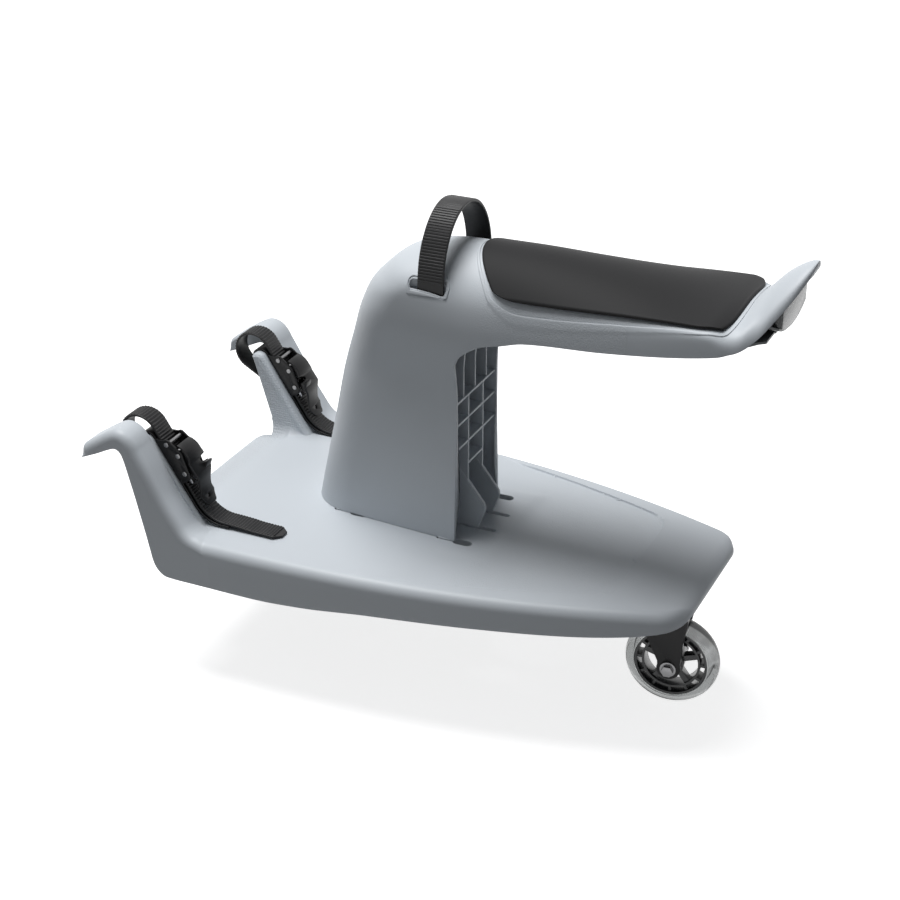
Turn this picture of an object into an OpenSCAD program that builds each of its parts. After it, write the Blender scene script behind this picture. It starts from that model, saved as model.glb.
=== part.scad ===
// Buggy board with a saddle seat, a single swivelling wheel and two ratchet straps.
// Stations run back from the horn tips along X, heights run up from the deck's top edge.
// The last lines move that frame so that the origin is under the middle of the board, on the floor.

/* [Deck] */
// Overall width across the two horns
deck_w = 340; // [320:1:360]
// Length from the horn tips to the tail
deck_l = 642; // [630:1:660]
// Height of the deck's top edge above the floor
deck_top = 162.3; // [158:0.1:170]
// Station of the deck's front edge between the arms
deck_front = 62; // [56:1:68]
// Straight width of the tail
tail_w = 124; // [110:1:130]
// Radius of the tail's corners in plan
tail_r = 40; // [34:1:44]
// Rounding of the deck's top edge
edge_r = 12; // [8:1:13]
// Rise of the deck from its edge to its middle
crown = 4; // [3.5:0.1:5]
// Thickness of every moulded wall
wall = 3.5; // [3:0.1:4]
// Depth of the side wall at the front
side_front = 49; // [46:1:52]
// Depth of the side wall ahead of the tail
side_tail = 27; // [25:1:29]
// Thickness of the ribs under the deck
deck_rib = 2.6; // [2:0.1:3.2]
// Floor of the shallow foot well, above the deck's edge
well_floor = 1.2; // [0.8:0.1:2]

/* [Horns] */
// Width of each arm across the deck
arm_w = 75; // [71:1:79]
// Width of the beak rib along the arm's outer side
beak_w = 35; // [32:1:38]
// Rounding of the beak's outer top edge
beak_r = 10; // [6:1:12]
// Height of the beak's crest
crest_h = 113; // [108:1:118]
// Station of the arm's back face at the buckle's end
arm_top_s = 64; // [62:1:66]
// Height of the arm's back face at the buckle's end
arm_top_h = 97; // [94:1:99]
// Station where the arm's back face meets the deck
arm_foot_s = 123; // [120:1:126]

/* [Seat] */
// Station of the seat post's open back
post_back = 379; // [375:1:383]
// Half width of the post's open back at the deck
post_half = 56.5; // [54:0.5:59]
// Half width of the saddle over the post
saddle_front_half = 65; // [62:1:68]
// Half width of the saddle at its tail
saddle_tail_half = 80; // [76:1:84]
// Thickness of the ribs inside the seat
seat_rib = 2.4; // [2:0.1:3]
// Thickness of the saddle pad
pad_t = 2.6; // [2:0.1:4]
// Distance that the seat slides back to come off its hooks
seat_travel = 18; // [16:1:20]

/* [Seat handle] */
// Width of the handle strap
handle_w = 28; // [24:1:30]
// Half span of the handle at the slots
handle_half = 57.5; // [56.5:0.5:58]
// Height of the handle's top above the deck's edge
handle_top = 355; // [345:1:362]
// Thickness of the handle strap
handle_t = 2.4; // [2:0.1:2.8]

/* [Ratchet straps] */
// Distance from an arm's inner face to the middle of its strap
strap_in = 23; // [22:0.5:24]
// Width of the toothed strap
strap_w = 24; // [22:0.5:25]
// Thickness of the toothed strap under its teeth
strap_t = 2.2; // [1.8:0.1:2.6]
// Height of the strap's teeth
tooth_h = 1; // [0.8:0.1:1.2]
// Distance from tooth to tooth
tooth_pitch = 3.4; // [3:0.1:4]
// Inside radius of the loop over the stroller's tube
loop_r = 20.4; // [18:0.2:21]
// Thickness of the smooth strap under the buckle
base_t = 2.5; // [2:0.1:3]
// Thickness of the buckle's floor and cheeks
buckle_t = 2; // [1.6:0.1:2.2]
// Diameter of the buckle's pins
buckle_pin_d = 4; // [3.5:0.1:4.4]

/* [Caster] */
// Diameter of the wheel
wheel_d = 100; // [98:1:102]
// Width of the tyre
tyre_w = 24; // [22:0.5:25]
// Distance of the wheel's axle behind the swivel
trail = 30; // [28:1:32]
// Turn of the caster as it stands
caster_turn = 6.6; // [0:0.1:15]
// Distance of the swivel axis ahead of the deck's tail
swivel_in = 69; // [66:1:72]
// Diameter of the swivel's steel stem
stem_d = 11; // [10:0.1:11.5]
// Diameter of the axle bolt
axle_d = 8; // [7:0.1:8]
// Thickness of the fork's legs
leg_t = 8; // [7:0.5:9]

/* [Fits] */
// Radial clearance of a pin or shaft that turns
run_fit = 0.08; // [0.05:0.01:0.1]
// Gap between moving pieces that only pass each other
gap = 0.3; // [0.25:0.05:0.4]

/* [Hidden] */
$fn = 48;
half = deck_w / 2;
strap_y = half - arm_w + strap_in;
swivel_s = deck_l - swivel_in;
grey = [0.74, 0.77, 0.80];
black = [0.12, 0.12, 0.13];
black_soft = [0.20, 0.20, 0.21];
steel = [0.80, 0.80, 0.82];
clear_tint = [0.62, 0.64, 0.66, 0.8];
hub_grey = [0.35, 0.36, 0.38];

// Helpers
function clamp01(t) = max(0, min(1, t));
function ease(t) = clamp01(t) * clamp01(t) * (3 - 2 * clamp01(t));
function mix(a, b, t) = a + (b - a) * t;
function arc(c, r, a0, a1, n) =
    [for (i = [0 : n]) let (a = a0 + (a1 - a0) * i / n) c + r * [cos(a), sin(a)]];
function unit(v) = v / norm(v);
function normal_at(p, i, n) =
    let (a = unit(p[i] - p[(i + n - 1) % n]), b = unit(p[(i + 1) % n] - p[i]), m = a + b)
    [m[1], -m[0]] / max(0.35, (m * m) / 2);
// Outline drawn counter-clockwise, moved inward by d, fading out below the deck; its first points stay crisp
function inset_top(p, d, crisp = 0) =
    let (n = len(p)) [for (i = [0 : n - 1])
        p[i] - d * (i < crisp ? 0.15 : 1) * ease((p[i][1] + 36) / 46) * normal_at(p, i, n)];

// Closed skin through rings that all have the same number of points
module loft(rings) {
    n = len(rings[0]);
    m = len(rings);
    faces = [for (j = [0 : m - 2], i = [0 : n - 1])
        let (a = j * n + i, b = j * n + (i + 1) % n)
        each [[a, b + n, b], [a, a + n, b + n]]];
    polyhedron(
        points = [for (r = rings) each r],
        faces = concat([[for (i = [0 : n - 1]) i]], faces, [[for (i = [n - 1 : -1 : 0]) (m - 1) * n + i]]),
        convexity = 10);
}

// The same for a sheet, whose rings run along its underside and back along its top; the ends may curve
module loft_sheet(rings) {
    n = len(rings[0]);
    m = len(rings);
    last = (m - 1) * n;
    faces = [for (j = [0 : m - 2], i = [0 : n - 1])
        let (a = j * n + i, b = j * n + (i + 1) % n)
        each [[a, b + n, b], [a, a + n, b + n]]];
    polyhedron(
        points = [for (r = rings) each r],
        faces = concat(faces, [for (i = [0 : n / 2 - 2])
            each [[i, i + 1, n - 2 - i], [i, n - 2 - i, n - 1 - i],
                [last + i, last + n - 2 - i, last + i + 1], [last + i, last + n - 1 - i, last + n - 2 - i]]]),
        convexity = 10);
}

// The same for rings of [x, y, z] points that follow each other along Y
module loft_across(rings) {
    loft([for (r = rings) [for (i = [len(r) - 1 : -1 : 0]) r[i]]]);
}

// Plate drawn in X and Z with its thickness along Y, centred on y
module side_plate(points, y, t) {
    translate([0, y + t / 2, 0]) rotate([90, 0, 0]) linear_extrude(t, convexity = 6) polygon(points);
}

// Band of constant thickness along a line of [station, height] points
function band(path, t_low, t_high) =
    let (n = len(path))
    concat(
        [for (i = [0 : n - 1]) path[i] - t_low * path_normal(path, i, n)],
        [for (i = [n - 1 : -1 : 0]) path[i] + t_high * path_normal(path, i, n)]);
function path_normal(p, i, n) =
    let (a = unit(p[min(i + 1, n - 1)] - p[max(i - 1, 0)])) [-a[1], a[0]];

// Deck outline and heights
side_start = 150;
tail_c = tail_w / 2;
corner_s = deck_l - tail_r + tail_r * sin(19);
corner_half = tail_c + tail_r * cos(19);
side_power = 2.4;
side_curve = (half - corner_half) / pow(corner_s - side_start, side_power);
arm_overlap = 2;
step_s = 100;
nose_r = 20;
function deck_half(s) =
    s < step_s + 0.5 ? half - arm_w + arm_overlap - roll(s - deck_front, nose_r)
    : s < side_start ? half
    : s < corner_s ? half - side_curve * pow(s - side_start, side_power)
    : tail_c + sqrt(max(0, pow(tail_r, 2) - pow(s - (deck_l - tail_r), 2)));
tail_roll = 14;
function roll(d, r) = d >= r ? 0 : r - sqrt(max(0, r * r - pow(r - max(0, d), 2)));
function deck_edge_z(s) = -roll(deck_l - s, tail_roll) * 0.7 - roll(s - deck_front, edge_r) * 0.6;
function deck_bottom_z(s) = lookup(s, [
    [deck_front, -10], [deck_front + 26, 5 - side_front], [step_s, 1 - side_front], [200, -side_front],
    [254, 2.5 - side_front], [330, -39.5], [440, -34.7], [deck_l - 103, -4 - side_tail],
    [deck_l - 54, -side_tail],
    [deck_l - 24, 5 - side_tail], [deck_l - 6, 10 - side_tail], [deck_l, 15 - side_tail]]);
crown_flat = 72;
function deck_crown(s, y) =
    let (w = deck_half(s) - edge_r, f = min(crown_flat, w * 0.6),
        c = crown * ease((deck_l - s) / 90) * ease((s - deck_front + 10) / 60))
    c * (1 - pow(clamp01((abs(y) - f) / max(1, w - f)), 2));
function deck_top_z(s, y) = deck_edge_z(s) + deck_crown(s, y);
deck_stations = [deck_front, deck_front + 1, deck_front + 4, deck_front + 9, deck_front + 18,
    deck_front + 26, step_s, step_s + 1, 122, side_start,
    each [for (s = [175, 205, 235, 265, 295, 330, 365, 400, 430, 460, 490, 520, 550, 575, 595, 606])
        if (s < corner_s - 5) s],
    corner_s, deck_l - 20, deck_l - 13, deck_l - 8, deck_l - 4, deck_l - 1.2, deck_l];
// Cross-section of the deck at a station: the side, its rounded top edge and the crowned top
function deck_half_ring(s, t, bottom) =
    let (w = deck_half(s) - t, ze = deck_edge_z(s) - t, r = min(edge_r - t, max(1, ze - bottom - 1)))
    concat([[w, bottom]],
        [for (a = [0 : 30 : 60]) [w - r * (1 - cos(a)), ze - r * (1 - sin(a))]],
        [for (k = [0 : 5]) let (y = (w - r) * (1 - k / 6)) [y, deck_top_z(s, y) - t]]);
function deck_ring(s, t, bottom, at) =
    let (h = deck_half_ring(s, t, bottom))
    concat([for (p = h) [at, p[0], p[1]]], [[at, 0, deck_top_z(s, 0) - t]],
        [for (i = [len(h) - 1 : -1 : 0]) [at, -h[i][0], h[i][1]]]);
module deck_block() {
    loft([for (s = deck_stations) deck_ring(s, 0, deck_bottom_z(s), s)]);
}
// The hollow under the deck; its floor follows the sloping nose, then opens downward
function hollow_s(s) = mix(deck_front + wall, deck_l - wall, (s - deck_front) / (deck_l - deck_front));
module deck_hollow() {
    loft([for (s = deck_stations)
        let (at = hollow_s(s), low = at < step_s - 3 ? deck_bottom_z(at) + wall * 1.4 : -90)
        deck_ring(s, wall, low, at)]);
}

// Arms and beaks
foot_z = 4;
arm_top = [arm_top_s, arm_top_h];
arm_foot = [arm_foot_s, foot_z];
arm_dir = unit(arm_foot - arm_top);
arm_out = [-arm_dir[1], arm_dir[0]];
arm_lean = atan2(-arm_dir[1], arm_dir[0]);
function on_arm(u, n) = arm_top + u * arm_dir + n * arm_out;
arm_end_r = 9;
arm_end_c = on_arm(7, -arm_end_r);
arm_in = half - arm_w;
beak_in = half - beak_w;
front_top = [55, 84];
front_foot = [92, -32];
floor_z = 0.5 - side_front;
underside = [[97, -43], [102, floor_z + 0.6], [120, floor_z]];
arm_back = [[side_start, floor_z], [side_start, -6], [141, -1]];
// Outline of the beak rib, counter-clockwise: its lower and front edges, then the rest
beak_low = [[0.2, 71.6], [11, 76.2], [22, 81], [32, 86.2], [41, 90.4], [45, 91.2], [48.5, 89.8],
    [51.5, 86], [54.5, 77], [64.5, 38.4], [74.7, -3.6], [81.6, -31], [84, -37], [87.5, -42],
    [91.5, -45.6], [96, -47.8], [108, floor_z]];
beak_outline = concat(beak_low, arm_back,
    [[134, 1.8], [129, 3.4], [124, 6], [119, 10], [115, 15], [98, 40], [80, 74], [69, 92], [66.5, 97],
        [63.5, crest_h - 11.5], [60, crest_h - 7.5], [56, crest_h - 4.6], [52, crest_h - 2.6],
        [48, crest_h - 1.6], [44, crest_h - 1.4], [40, crest_h - 2.2], [31, crest_h - 6.6],
        [21, crest_h - 13], [12, crest_h - 18.8], [5, crest_h - 23.6], [2, crest_h - 26.4],
        [0.6, crest_h - 30], [0.2, crest_h - 34]]);
// Outline of the lower, inner part of each arm, which carries the strap
inner_outline = concat(
    [front_top, front_foot], underside, arm_back,
    [[131, 0], arm_foot + [3, -3]], [arm_foot - 6 * arm_dir],
    arc(arm_end_c, arm_end_r, 90 - arm_lean, 90 - arm_lean + 118, 6));
// Distance across the board of each ring of the arm, and how far its outline is drawn in there
beak_rings = [[beak_in - 1, 3], [beak_in + 1, 1], [beak_in + 4, 0], [half - beak_r, 0],
    [half - beak_r * 0.5, beak_r * 0.13], [half - beak_r * 0.134, beak_r * 0.5], [half, beak_r * 0.9]];
inner_rings = [[arm_in, 4], [arm_in + 2, 1.2], [arm_in + 6, 0], [beak_in + 2, 0]];
module arm_block() {
    loft_across([for (k = beak_rings)
        [for (p = inset_top(beak_outline, k[1], len(beak_low))) [p[0], k[0], p[1]]]]);
    loft_across([for (k = inner_rings)
        [for (p = inset_top(inner_outline, k[1])) [p[0], k[0], p[1]]]]);
}
// Hollows inside the arm, open to the underside of the deck
hollow_foot = [[96.5, -33], [101, -38], [107, -42], [108, -90], [146, -90], [146, -5.5]];
foot_room = [[96.5, -33], [101, -38], [107, -42], [108, -90], [152, -90], [152, -16], [91, -16]];
beak_hollow = concat(
    [[13, 82], [22, 85.5], [40, 95], [50, 95], [58, 82], [68.5, 39], [79, -3.6], [86.5, -31], [92, -40],
        [99, -44]],
    [[108, -44.5], [108, -90], [146, -90], [146, -5.5]],
    [[134, -3.5], [122, 1], [111, 12], [94, 37], [76, 71], [65, 89], [59.5, crest_h - 16]],
    [[53, crest_h - 9], [46, crest_h - 6], [40, crest_h - 6.8], [30, crest_h - 11.8], [14, crest_h - 23]]);
inner_hollow = concat(
    [front_top + [6, -2]], hollow_foot,
    [[131, -5], on_arm(107, -wall - 1)], [on_arm(24, -wall - 0.5), on_arm(16, -wall - 3)]);
module arm_hollow() {
    side_plate(beak_hollow, (beak_in + half) / 2, beak_w - 2 * wall - 4.4);
    side_plate(inner_hollow, (arm_in + beak_in) / 2, arm_w - beak_w - 2 * wall);
    side_plate(foot_room, (arm_in + half) / 2, arm_w - 2 * wall - 1);
}

// The loop of toothed strap over the horn, its run through the buckle and its tail on the deck
strap_mid = base_t + buckle_t + gap + strap_t / 2;
loop_mid_r = loop_r + strap_t / 2;
loop_u = -4;
loop_c = on_arm(loop_u, strap_mid - loop_mid_r);
slot_at = [66, 57];
slot_v = loop_c - slot_at;
slot_turn = acos(loop_mid_r / norm(slot_v));
leave_a = atan2(-slot_v[1], -slot_v[0]) - slot_turn;
leave_p = loop_c + loop_mid_r * [cos(leave_a), sin(leave_a)];
slot_dir = unit(slot_at - leave_p);
anchor_p = slot_at + 14 * slot_dir;
anchor_r = 4.5;
tail_bend_r = 38;
base_gap = 0.2;
// Height at which the smooth strap lies on the crowned deck
rest_z = deck_top_z(side_start, strap_y - strap_w / 2 - 1) + base_gap;
tail_z = rest_z + base_t + gap + strap_t / 2;
tail_low_z = rest_z + strap_t / 2;
bend_c_z = tail_z + tail_bend_r;
// Where the bend starts on the run down the arm
bend_u = ((on_arm(0, strap_mid + tail_bend_r))[1] - bend_c_z) / -arm_dir[1];
bend_c = on_arm(bend_u, strap_mid + tail_bend_r);
tail_end = 213;
ladder_path = concat(
    [anchor_p - 2 * slot_dir, slot_at],
    arc(loop_c, loop_mid_r, leave_a, 90 - arm_lean - 360, 18),
    [on_arm(12, strap_mid), on_arm(26, strap_mid), on_arm(40, strap_mid), on_arm(56, strap_mid)],
    arc(bend_c, tail_bend_r, 270 - arm_lean, 270, 7),
    [[bend_c[0] + 18, tail_z - 0.6], [bend_c[0] + 34, mix(tail_z, tail_low_z, 0.7)], [tail_end, tail_low_z]]);
function path_len(p, n) = n <= 0 ? 0 : norm(p[n] - p[n - 1]) + path_len(p, n - 1);
function path_at(p, d, i = 0) =
    let (l = norm(p[i + 1] - p[i]))
    d <= l || i >= len(p) - 2 ? [p[i] + unit(p[i + 1] - p[i]) * min(d, l), unit(p[i + 1] - p[i])]
    : path_at(p, d - l, i + 1);
ladder_len = path_len(ladder_path, len(ladder_path) - 1);
first_tooth = 34;
tooth_n = floor((ladder_len - first_tooth - 9) / tooth_pitch);

module ladder_strap(side) {
    color(black_soft) difference() {
        union() {
            intersection() {
                side_plate(band(ladder_path, strap_t / 2, strap_t / 2), side * strap_y, strap_w);
                // The tail's end comes to a blunt point
                translate([0, side * strap_y, -20]) linear_extrude(200) polygon([[0, -strap_w / 2],
                    [tail_end - 8, -strap_w / 2], [tail_end, -strap_w / 5], [tail_end, strap_w / 5],
                    [tail_end - 8, strap_w / 2], [0, strap_w / 2]]);
            }
            for (k = [0 : tooth_n - 1]) {
                q = path_at(ladder_path, first_tooth + k * tooth_pitch);
                up = [-q[1][1], q[1][0]];
                root = q[0] + up * (strap_t / 2 - 0.3);
                tip = q[0] + up * (strap_t / 2 + tooth_h);
                side_plate([root - q[1] * 0.7, root + q[1] * 1.5, tip + q[1] * 1.2, tip - q[1] * 0.2],
                    side * strap_y, strap_w - 5);
            }
            translate([anchor_p[0], side * strap_y + strap_w / 2, anchor_p[1]]) rotate([90, 0, 0])
                cylinder(r = anchor_r, h = strap_w);
        }
        translate([anchor_p[0], side * strap_y + strap_w / 2 + 1, anchor_p[1]]) rotate([90, 0, 0])
            cylinder(d = buckle_pin_d + 2 * run_fit, h = strap_w + 2);
    }
}

// Pin across the arm that holds the toothed strap's eye
anchor_len = arm_w - beak_w - 2 * wall + 4;
module strap_anchor(side) {
    color(steel) translate([anchor_p[0], side * (arm_in + beak_in) / 2 + anchor_len / 2, anchor_p[1]])
        rotate([90, 0, 0]) cylinder(d = buckle_pin_d, h = anchor_len);
}

// Smooth strap that lies on the arm and carries the buckle
foot_screw = [143, rest_z];
base_bend_r = 40;
base_bend_u = (on_arm(0, base_gap + base_bend_r)[1] - rest_z - base_bend_r) / -arm_dir[1];
base_bend_c = on_arm(base_bend_u, base_gap + base_bend_r);
base_end = 153;
base_path = concat(
    [front_top - [0.3, 0.1]],
    arc(arm_end_c, arm_end_r + base_gap, 90 - arm_lean + 118, 90 - arm_lean, 10),
    arc(base_bend_c, base_bend_r, 270 - arm_lean, 270, 7),
    [[base_end, rest_z]]);
module buckle_strap(side) {
    color(black) difference() {
        side_plate(band(base_path, 0, base_t), side * strap_y, strap_w + 2);
        at_arm(side) translate([buckle_screw_u, 0, -1]) cylinder(d = screw_d + 0.4, h = base_t + 3);
        translate([foot_screw[0], side * strap_y, foot_screw[1]]) {
            translate([0, 0, -1]) cylinder(d = screw_d + 0.4, h = base_t + 3);
            translate([0, 0, base_t - 2]) cylinder(d1 = screw_d + 0.6, d2 = 9.4, h = 2.1);
        }
    }
}

// Local frame on the arm's back face: X down the arm, Y across, Z away from the arm
module at_arm(side) {
    translate([arm_top_s, side * strap_y, arm_top_h]) mirror([0, side < 0 ? 1 : 0, 0])
        rotate([0, arm_lean, 0]) children();
}
screw_d = 4.6;
buckle_screw_u = 27;
screw_len = 14;
floor_n = base_t + base_gap;
chan_half = strap_w / 2 + 0.5;
cheek_out = chan_half + buckle_t;
pin_1 = [18, floor_n + buckle_t + strap_t + tooth_h + 4];
pin_2 = [34, floor_n + 15];
pin_3 = [54, floor_n + 10.5];
module cheek_shape() {
    polygon(concat([[8, floor_n], [62, floor_n]], arc(pin_3 + [3, -0.5], 5.5, 10, 80, 4),
        arc(pin_2, 5.5, 60, 130, 4), arc(pin_1 + [0, 0.5], 5, 100, 190, 4)));
}
module buckle_base(side) {
    color(black) at_arm(side) difference() {
        union() {
            translate([8, -cheek_out, floor_n]) cube([54, 2 * cheek_out, buckle_t]);
            for (y = [-cheek_out, chan_half]) translate([0, y + buckle_t, 0]) rotate([90, 0, 0])
                linear_extrude(buckle_t) cheek_shape();
        }
        for (p = [pin_1, pin_2, pin_3]) translate([p[0], cheek_out + 1, p[1]]) rotate([90, 0, 0])
            cylinder(d = buckle_pin_d, h = 2 * cheek_out + 2);
        translate([buckle_screw_u, 0, floor_n - 1]) cylinder(d = screw_d + 0.4, h = buckle_t + 2);
        translate([buckle_screw_u, 0, floor_n + 0.2])
            cylinder(d1 = screw_d + 0.6, d2 = 9.2, h = buckle_t - 0.1);
    }
}
module buckle_pins(side) {
    color(steel) at_arm(side) for (p = [pin_1, pin_2, pin_3])
        translate([p[0], 0, p[1]]) {
            rotate([90, 0, 0]) cylinder(d = buckle_pin_d, h = 2 * cheek_out + 1, center = true);
            for (y = [-1, 1]) translate([0, y * (cheek_out + 0.5), 0]) rotate([90, 0, 0])
                cylinder(d = buckle_pin_d + 1.4, h = 0.8, center = true);
        }
}
module strap_screws(side) {
    color(steel) {
        at_arm(side) translate([buckle_screw_u, 0, 0]) flat_screw(floor_n + buckle_t - 0.1);
        translate([foot_screw[0], side * strap_y, 0]) flat_screw(foot_screw[1] + base_t);
    }
}
// Countersunk screw with its head's top at the given height
module flat_screw(top) {
    translate([0, 0, top - screw_len]) cylinder(d = screw_d, h = screw_len - 1.5);
    translate([0, 0, top - 1.9]) cylinder(d1 = screw_d, d2 = 8.4, h = 1.8);
}

// Lever: two side ears on the middle pin, a crowned back and a long handle with a hooked notch
lever_half = chan_half - gap;
lever_t = 2.2;
lever_line = concat(arc(pin_2 + [4, -9], 19.5, 138, 62, 7),
    [[61, 26.5], [68, 23], [75, 18.5], [82, 15.5], [89, 14], [96, 14.5]]);
handle_half_w = cheek_out;
ear_shape = concat([[pin_2[0] - 6, pin_2[1] - 2]], arc(pin_2, 5, 200, 300, 5),
    [[46, 16.5], [57, 18.5], [64, 20]], [[61, 26], [50, 25.5]],
    arc(pin_2 + [4, -9], 18.5, 62, 112, 4));
crank = 5.8;
crank_a = 24;
drive_pin_at = pin_2 - crank * [sin(crank_a), cos(crank_a)];
module buckle_lever(side) {
    color(black_soft) at_arm(side) difference() {
        union() {
            intersection() {
                side_plate(band(lever_line, lever_t, 0), 0, 2 * handle_half_w);
                lever_plan();
            }
            // Lip raised along the notch
            side_plate([[53.7, 25], [61, 25], [56.5, 30.5], [54.4, 31.5]],
                -(handle_half_w + 4) / 2, handle_half_w - 4);
            for (y = [-1, 1]) side_plate(ear_shape, y * (lever_half - 1.25), 2.5);
            for (y = [-1, 1]) translate([drive_pin_at[0], y * (lever_half - 1.25), drive_pin_at[1]])
                rotate([90, 0, 0]) cylinder(r = 3, h = 2.5, center = true);
        }
        translate([pin_2[0], 0, pin_2[1]]) rotate([90, 0, 0])
            cylinder(d = buckle_pin_d + 2 * run_fit, h = 60, center = true);
        translate([drive_pin_at[0], 0, drive_pin_at[1]]) rotate([90, 0, 0])
            cylinder(d = drive_d, h = 60, center = true);
        // Thumb hole near the handle's end
        translate([87, 0, 0]) cylinder(d = 5, h = 40);
        // Hooked notch in the inner edge
        translate([0, 0, 10]) linear_extrude(40)
            polygon([[45, -20], [46.5, -9], [49, -3.5], [51.5, -4], [53, -8], [53.5, -20]]);
    }
}
module lever_plan() {
    linear_extrude(60) polygon(concat(
        [[12, -lever_half + 1.5], [20, -lever_half], [40, -lever_half], [46, -handle_half_w],
            [60, -handle_half_w], [70, -handle_half_w + 4], [78, -handle_half_w + 4.5],
            [84, -handle_half_w + 2]],
        arc([88, 0], handle_half_w - 4, -55, 55, 6),
        [[84, handle_half_w - 2], [78, handle_half_w - 4.5], [70, handle_half_w - 4], [60, handle_half_w],
            [46, handle_half_w], [40, lever_half], [20, lever_half], [12, lever_half - 1.5]]));
}
drive_d = 3;
// Pawl on the lever that pushes the strap on, tooth by tooth
pawl_half = lever_half - 2.5 - gap;
tooth_top_n = strap_mid + strap_t / 2 + tooth_h;
module drive_pawl(side) {
    tip = [drive_pin_at[0] + 8, tooth_top_n + 1.1];
    color(steel) at_arm(side) difference() {
        side_plate(concat(arc(drive_pin_at, 3, 20, 230, 8), [tip + [-2.2, 0.4], tip, tip + [0.6, 1.2]]),
            0, 2 * pawl_half);
        translate([drive_pin_at[0], 0, drive_pin_at[1]]) rotate([90, 0, 0])
            cylinder(d = drive_d + 2 * run_fit, h = 60, center = true);
    }
}
module drive_pin(side) {
    color(steel) at_arm(side) translate([drive_pin_at[0], 0, drive_pin_at[1]]) rotate([90, 0, 0])
        cylinder(d = drive_d, h = 2 * lever_half, center = true);
}
// Sprung pawl that holds the strap, with the tab that frees it
lock_half = chan_half - gap - 1.2;
module lock_pawl(side) {
    tip = [pin_3[0] - 6.5, tooth_top_n + gap + 0.1];
    color(steel) at_arm(side) difference() {
        side_plate(concat([tip + [0.8, 1.6], tip, tip + [2.4, 0.2]], arc(pin_3, 3.6, 235, 300, 4),
            [[pin_3[0] + 9, pin_3[1] - 2.2], [pin_3[0] + 13, pin_3[1] - 1.4], [pin_3[0] + 13, pin_3[1] + 0.4],
                [pin_3[0] + 8, pin_3[1] + 0.8]], arc(pin_3, 3.6, 40, 150, 6)), 0, 2 * lock_half);
        translate([pin_3[0], 0, pin_3[1]]) rotate([90, 0, 0]) {
            cylinder(d = buckle_pin_d + 2 * run_fit, h = 60, center = true);
            cylinder(d = 7.6, h = 9, center = true);
        }
    }
}
// Torsion spring round the lock pawl's pin
spring_wire = 0.9;
module pawl_spring(side) {
    color(steel) at_arm(side) translate([pin_3[0], 0, pin_3[1]]) rotate([90, 0, 0])
        for (k = [-3 : 3]) translate([0, 0, k * spring_wire * 1.05])
            rotate_extrude() translate([buckle_pin_d / 2 + 0.15 + spring_wire / 2, 0])
                square(spring_wire * 1.06, center = true);
}

// Seat shell: the post rises from the deck and runs into the saddle
post_front = [[197, 0], [207, 48], [219, 104], [232, 165], [245, 207], [257, 243], [269, 267], [281, 280],
    [298, 295], [313, 303], [337, 310], [359, 313.5], [391, 315]];
nose_depth = 50;
saddle_back_s = 660;
lip_s = 719;
lip_h = 350;
lip_half = 76;
lip_run = 43;
lip_drop = 67;
seat_floor = crown + gap;
function front_s(z) = lookup(z, [for (p = post_front) [p[1], p[0]]]);
// Half width of the seat's side at a height
function post_half_at(s, z) =
    (post_half - 4.8 * ease(z / 130)) * (1 - 0.0013 * (post_back - min(s, post_back)));
function saddle_half_at(s) =
    s < lip_s - lip_run
    ? mix(saddle_front_half, saddle_tail_half, (s - 340) / (saddle_back_s - 340))
        - (saddle_tail_half - lip_half) * 1.15 * ease((s - saddle_back_s + 8) / 24)
    : lip_half * sqrt(max(0.0004, (lip_s - s) / lip_run));
function side_half(s, z) =
    let (d = clamp01((s - front_s(z)) / nose_depth), g = sqrt(max(0, 1 - pow(1 - d, 2))))
    mix(post_half_at(s, z), saddle_half_at(s), ease((z - 165) / 90)) * g;
// Height of the top along the middle, and how far it falls to the edge
function seat_mid_z(s) = lookup(s, concat(post_front, [[430, 315], [500, 312.5], [560, 308.5], [640, 301],
    [655, 301], [664, 305]],
    [for (p = [[672, 37], [680, 28], [690, 17], [702, 7.5], [712, 2], [lip_s, 0]]) [p[0], lip_h - p[1]]]));
function edge_drop(s) = lookup(s, [[197, 1], [281, 8], [300, 14], [337, 27], [391, 41], [430, 38],
    [500, 30], [560, 20], [640, 6], [660, 7], [672, 22], [684, 34], [692, 31], [700, 26], [708, 18.5],
    [714, 11], [lip_s, 3]]);
function crown_half(s, z, w) = w * sqrt(max(0, (seat_mid_z(s) - z) / edge_drop(s)));
function seat_half(s, z) =
    let (a = max(0.2, side_half(s, z)), b = max(0.2, crown_half(s, z, saddle_half_at(s))))
    pow(pow(a, -7) + pow(b, -7), -1 / 7);
// Height of the seat's top surface away from the middle
function seat_top_z(s, y) = seat_mid_z(s) - edge_drop(s) * pow(abs(y) / saddle_half_at(s), 2);
function lip_low(s) = lip_h - lip_drop * pow(sqrt((lip_s - s) / lip_run), 1.6) - 4;
arch = [[post_back, 203], [post_back + 5, 213], [post_back + 16, 223], [post_back + 33, 233],
    [post_back + 51, 238], [457, 246], [538, 254], [597, 262], [635, 269], [659, 275], [669, 279],
    [676, 280]];
function seat_low_z(s) = s <= post_back ? seat_floor : s < lip_s - lip_run ? lookup(s, arch) : lip_low(s);
seat_stations = [198.2, 199.4, 203, 209, 216, 224, 233, 243, 255, 268, 282, 298, 316, 337, 358, post_back,
    post_back + 0.3, post_back + 5, post_back + 11, post_back + 20, post_back + 33, post_back + 51,
    457, 495, 538, 580, 615, 640, 655, 664, 670, 676, 684, 692, 700, 708, 714, 717.5, lip_s - 0.3];
ring_n = 12;
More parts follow.
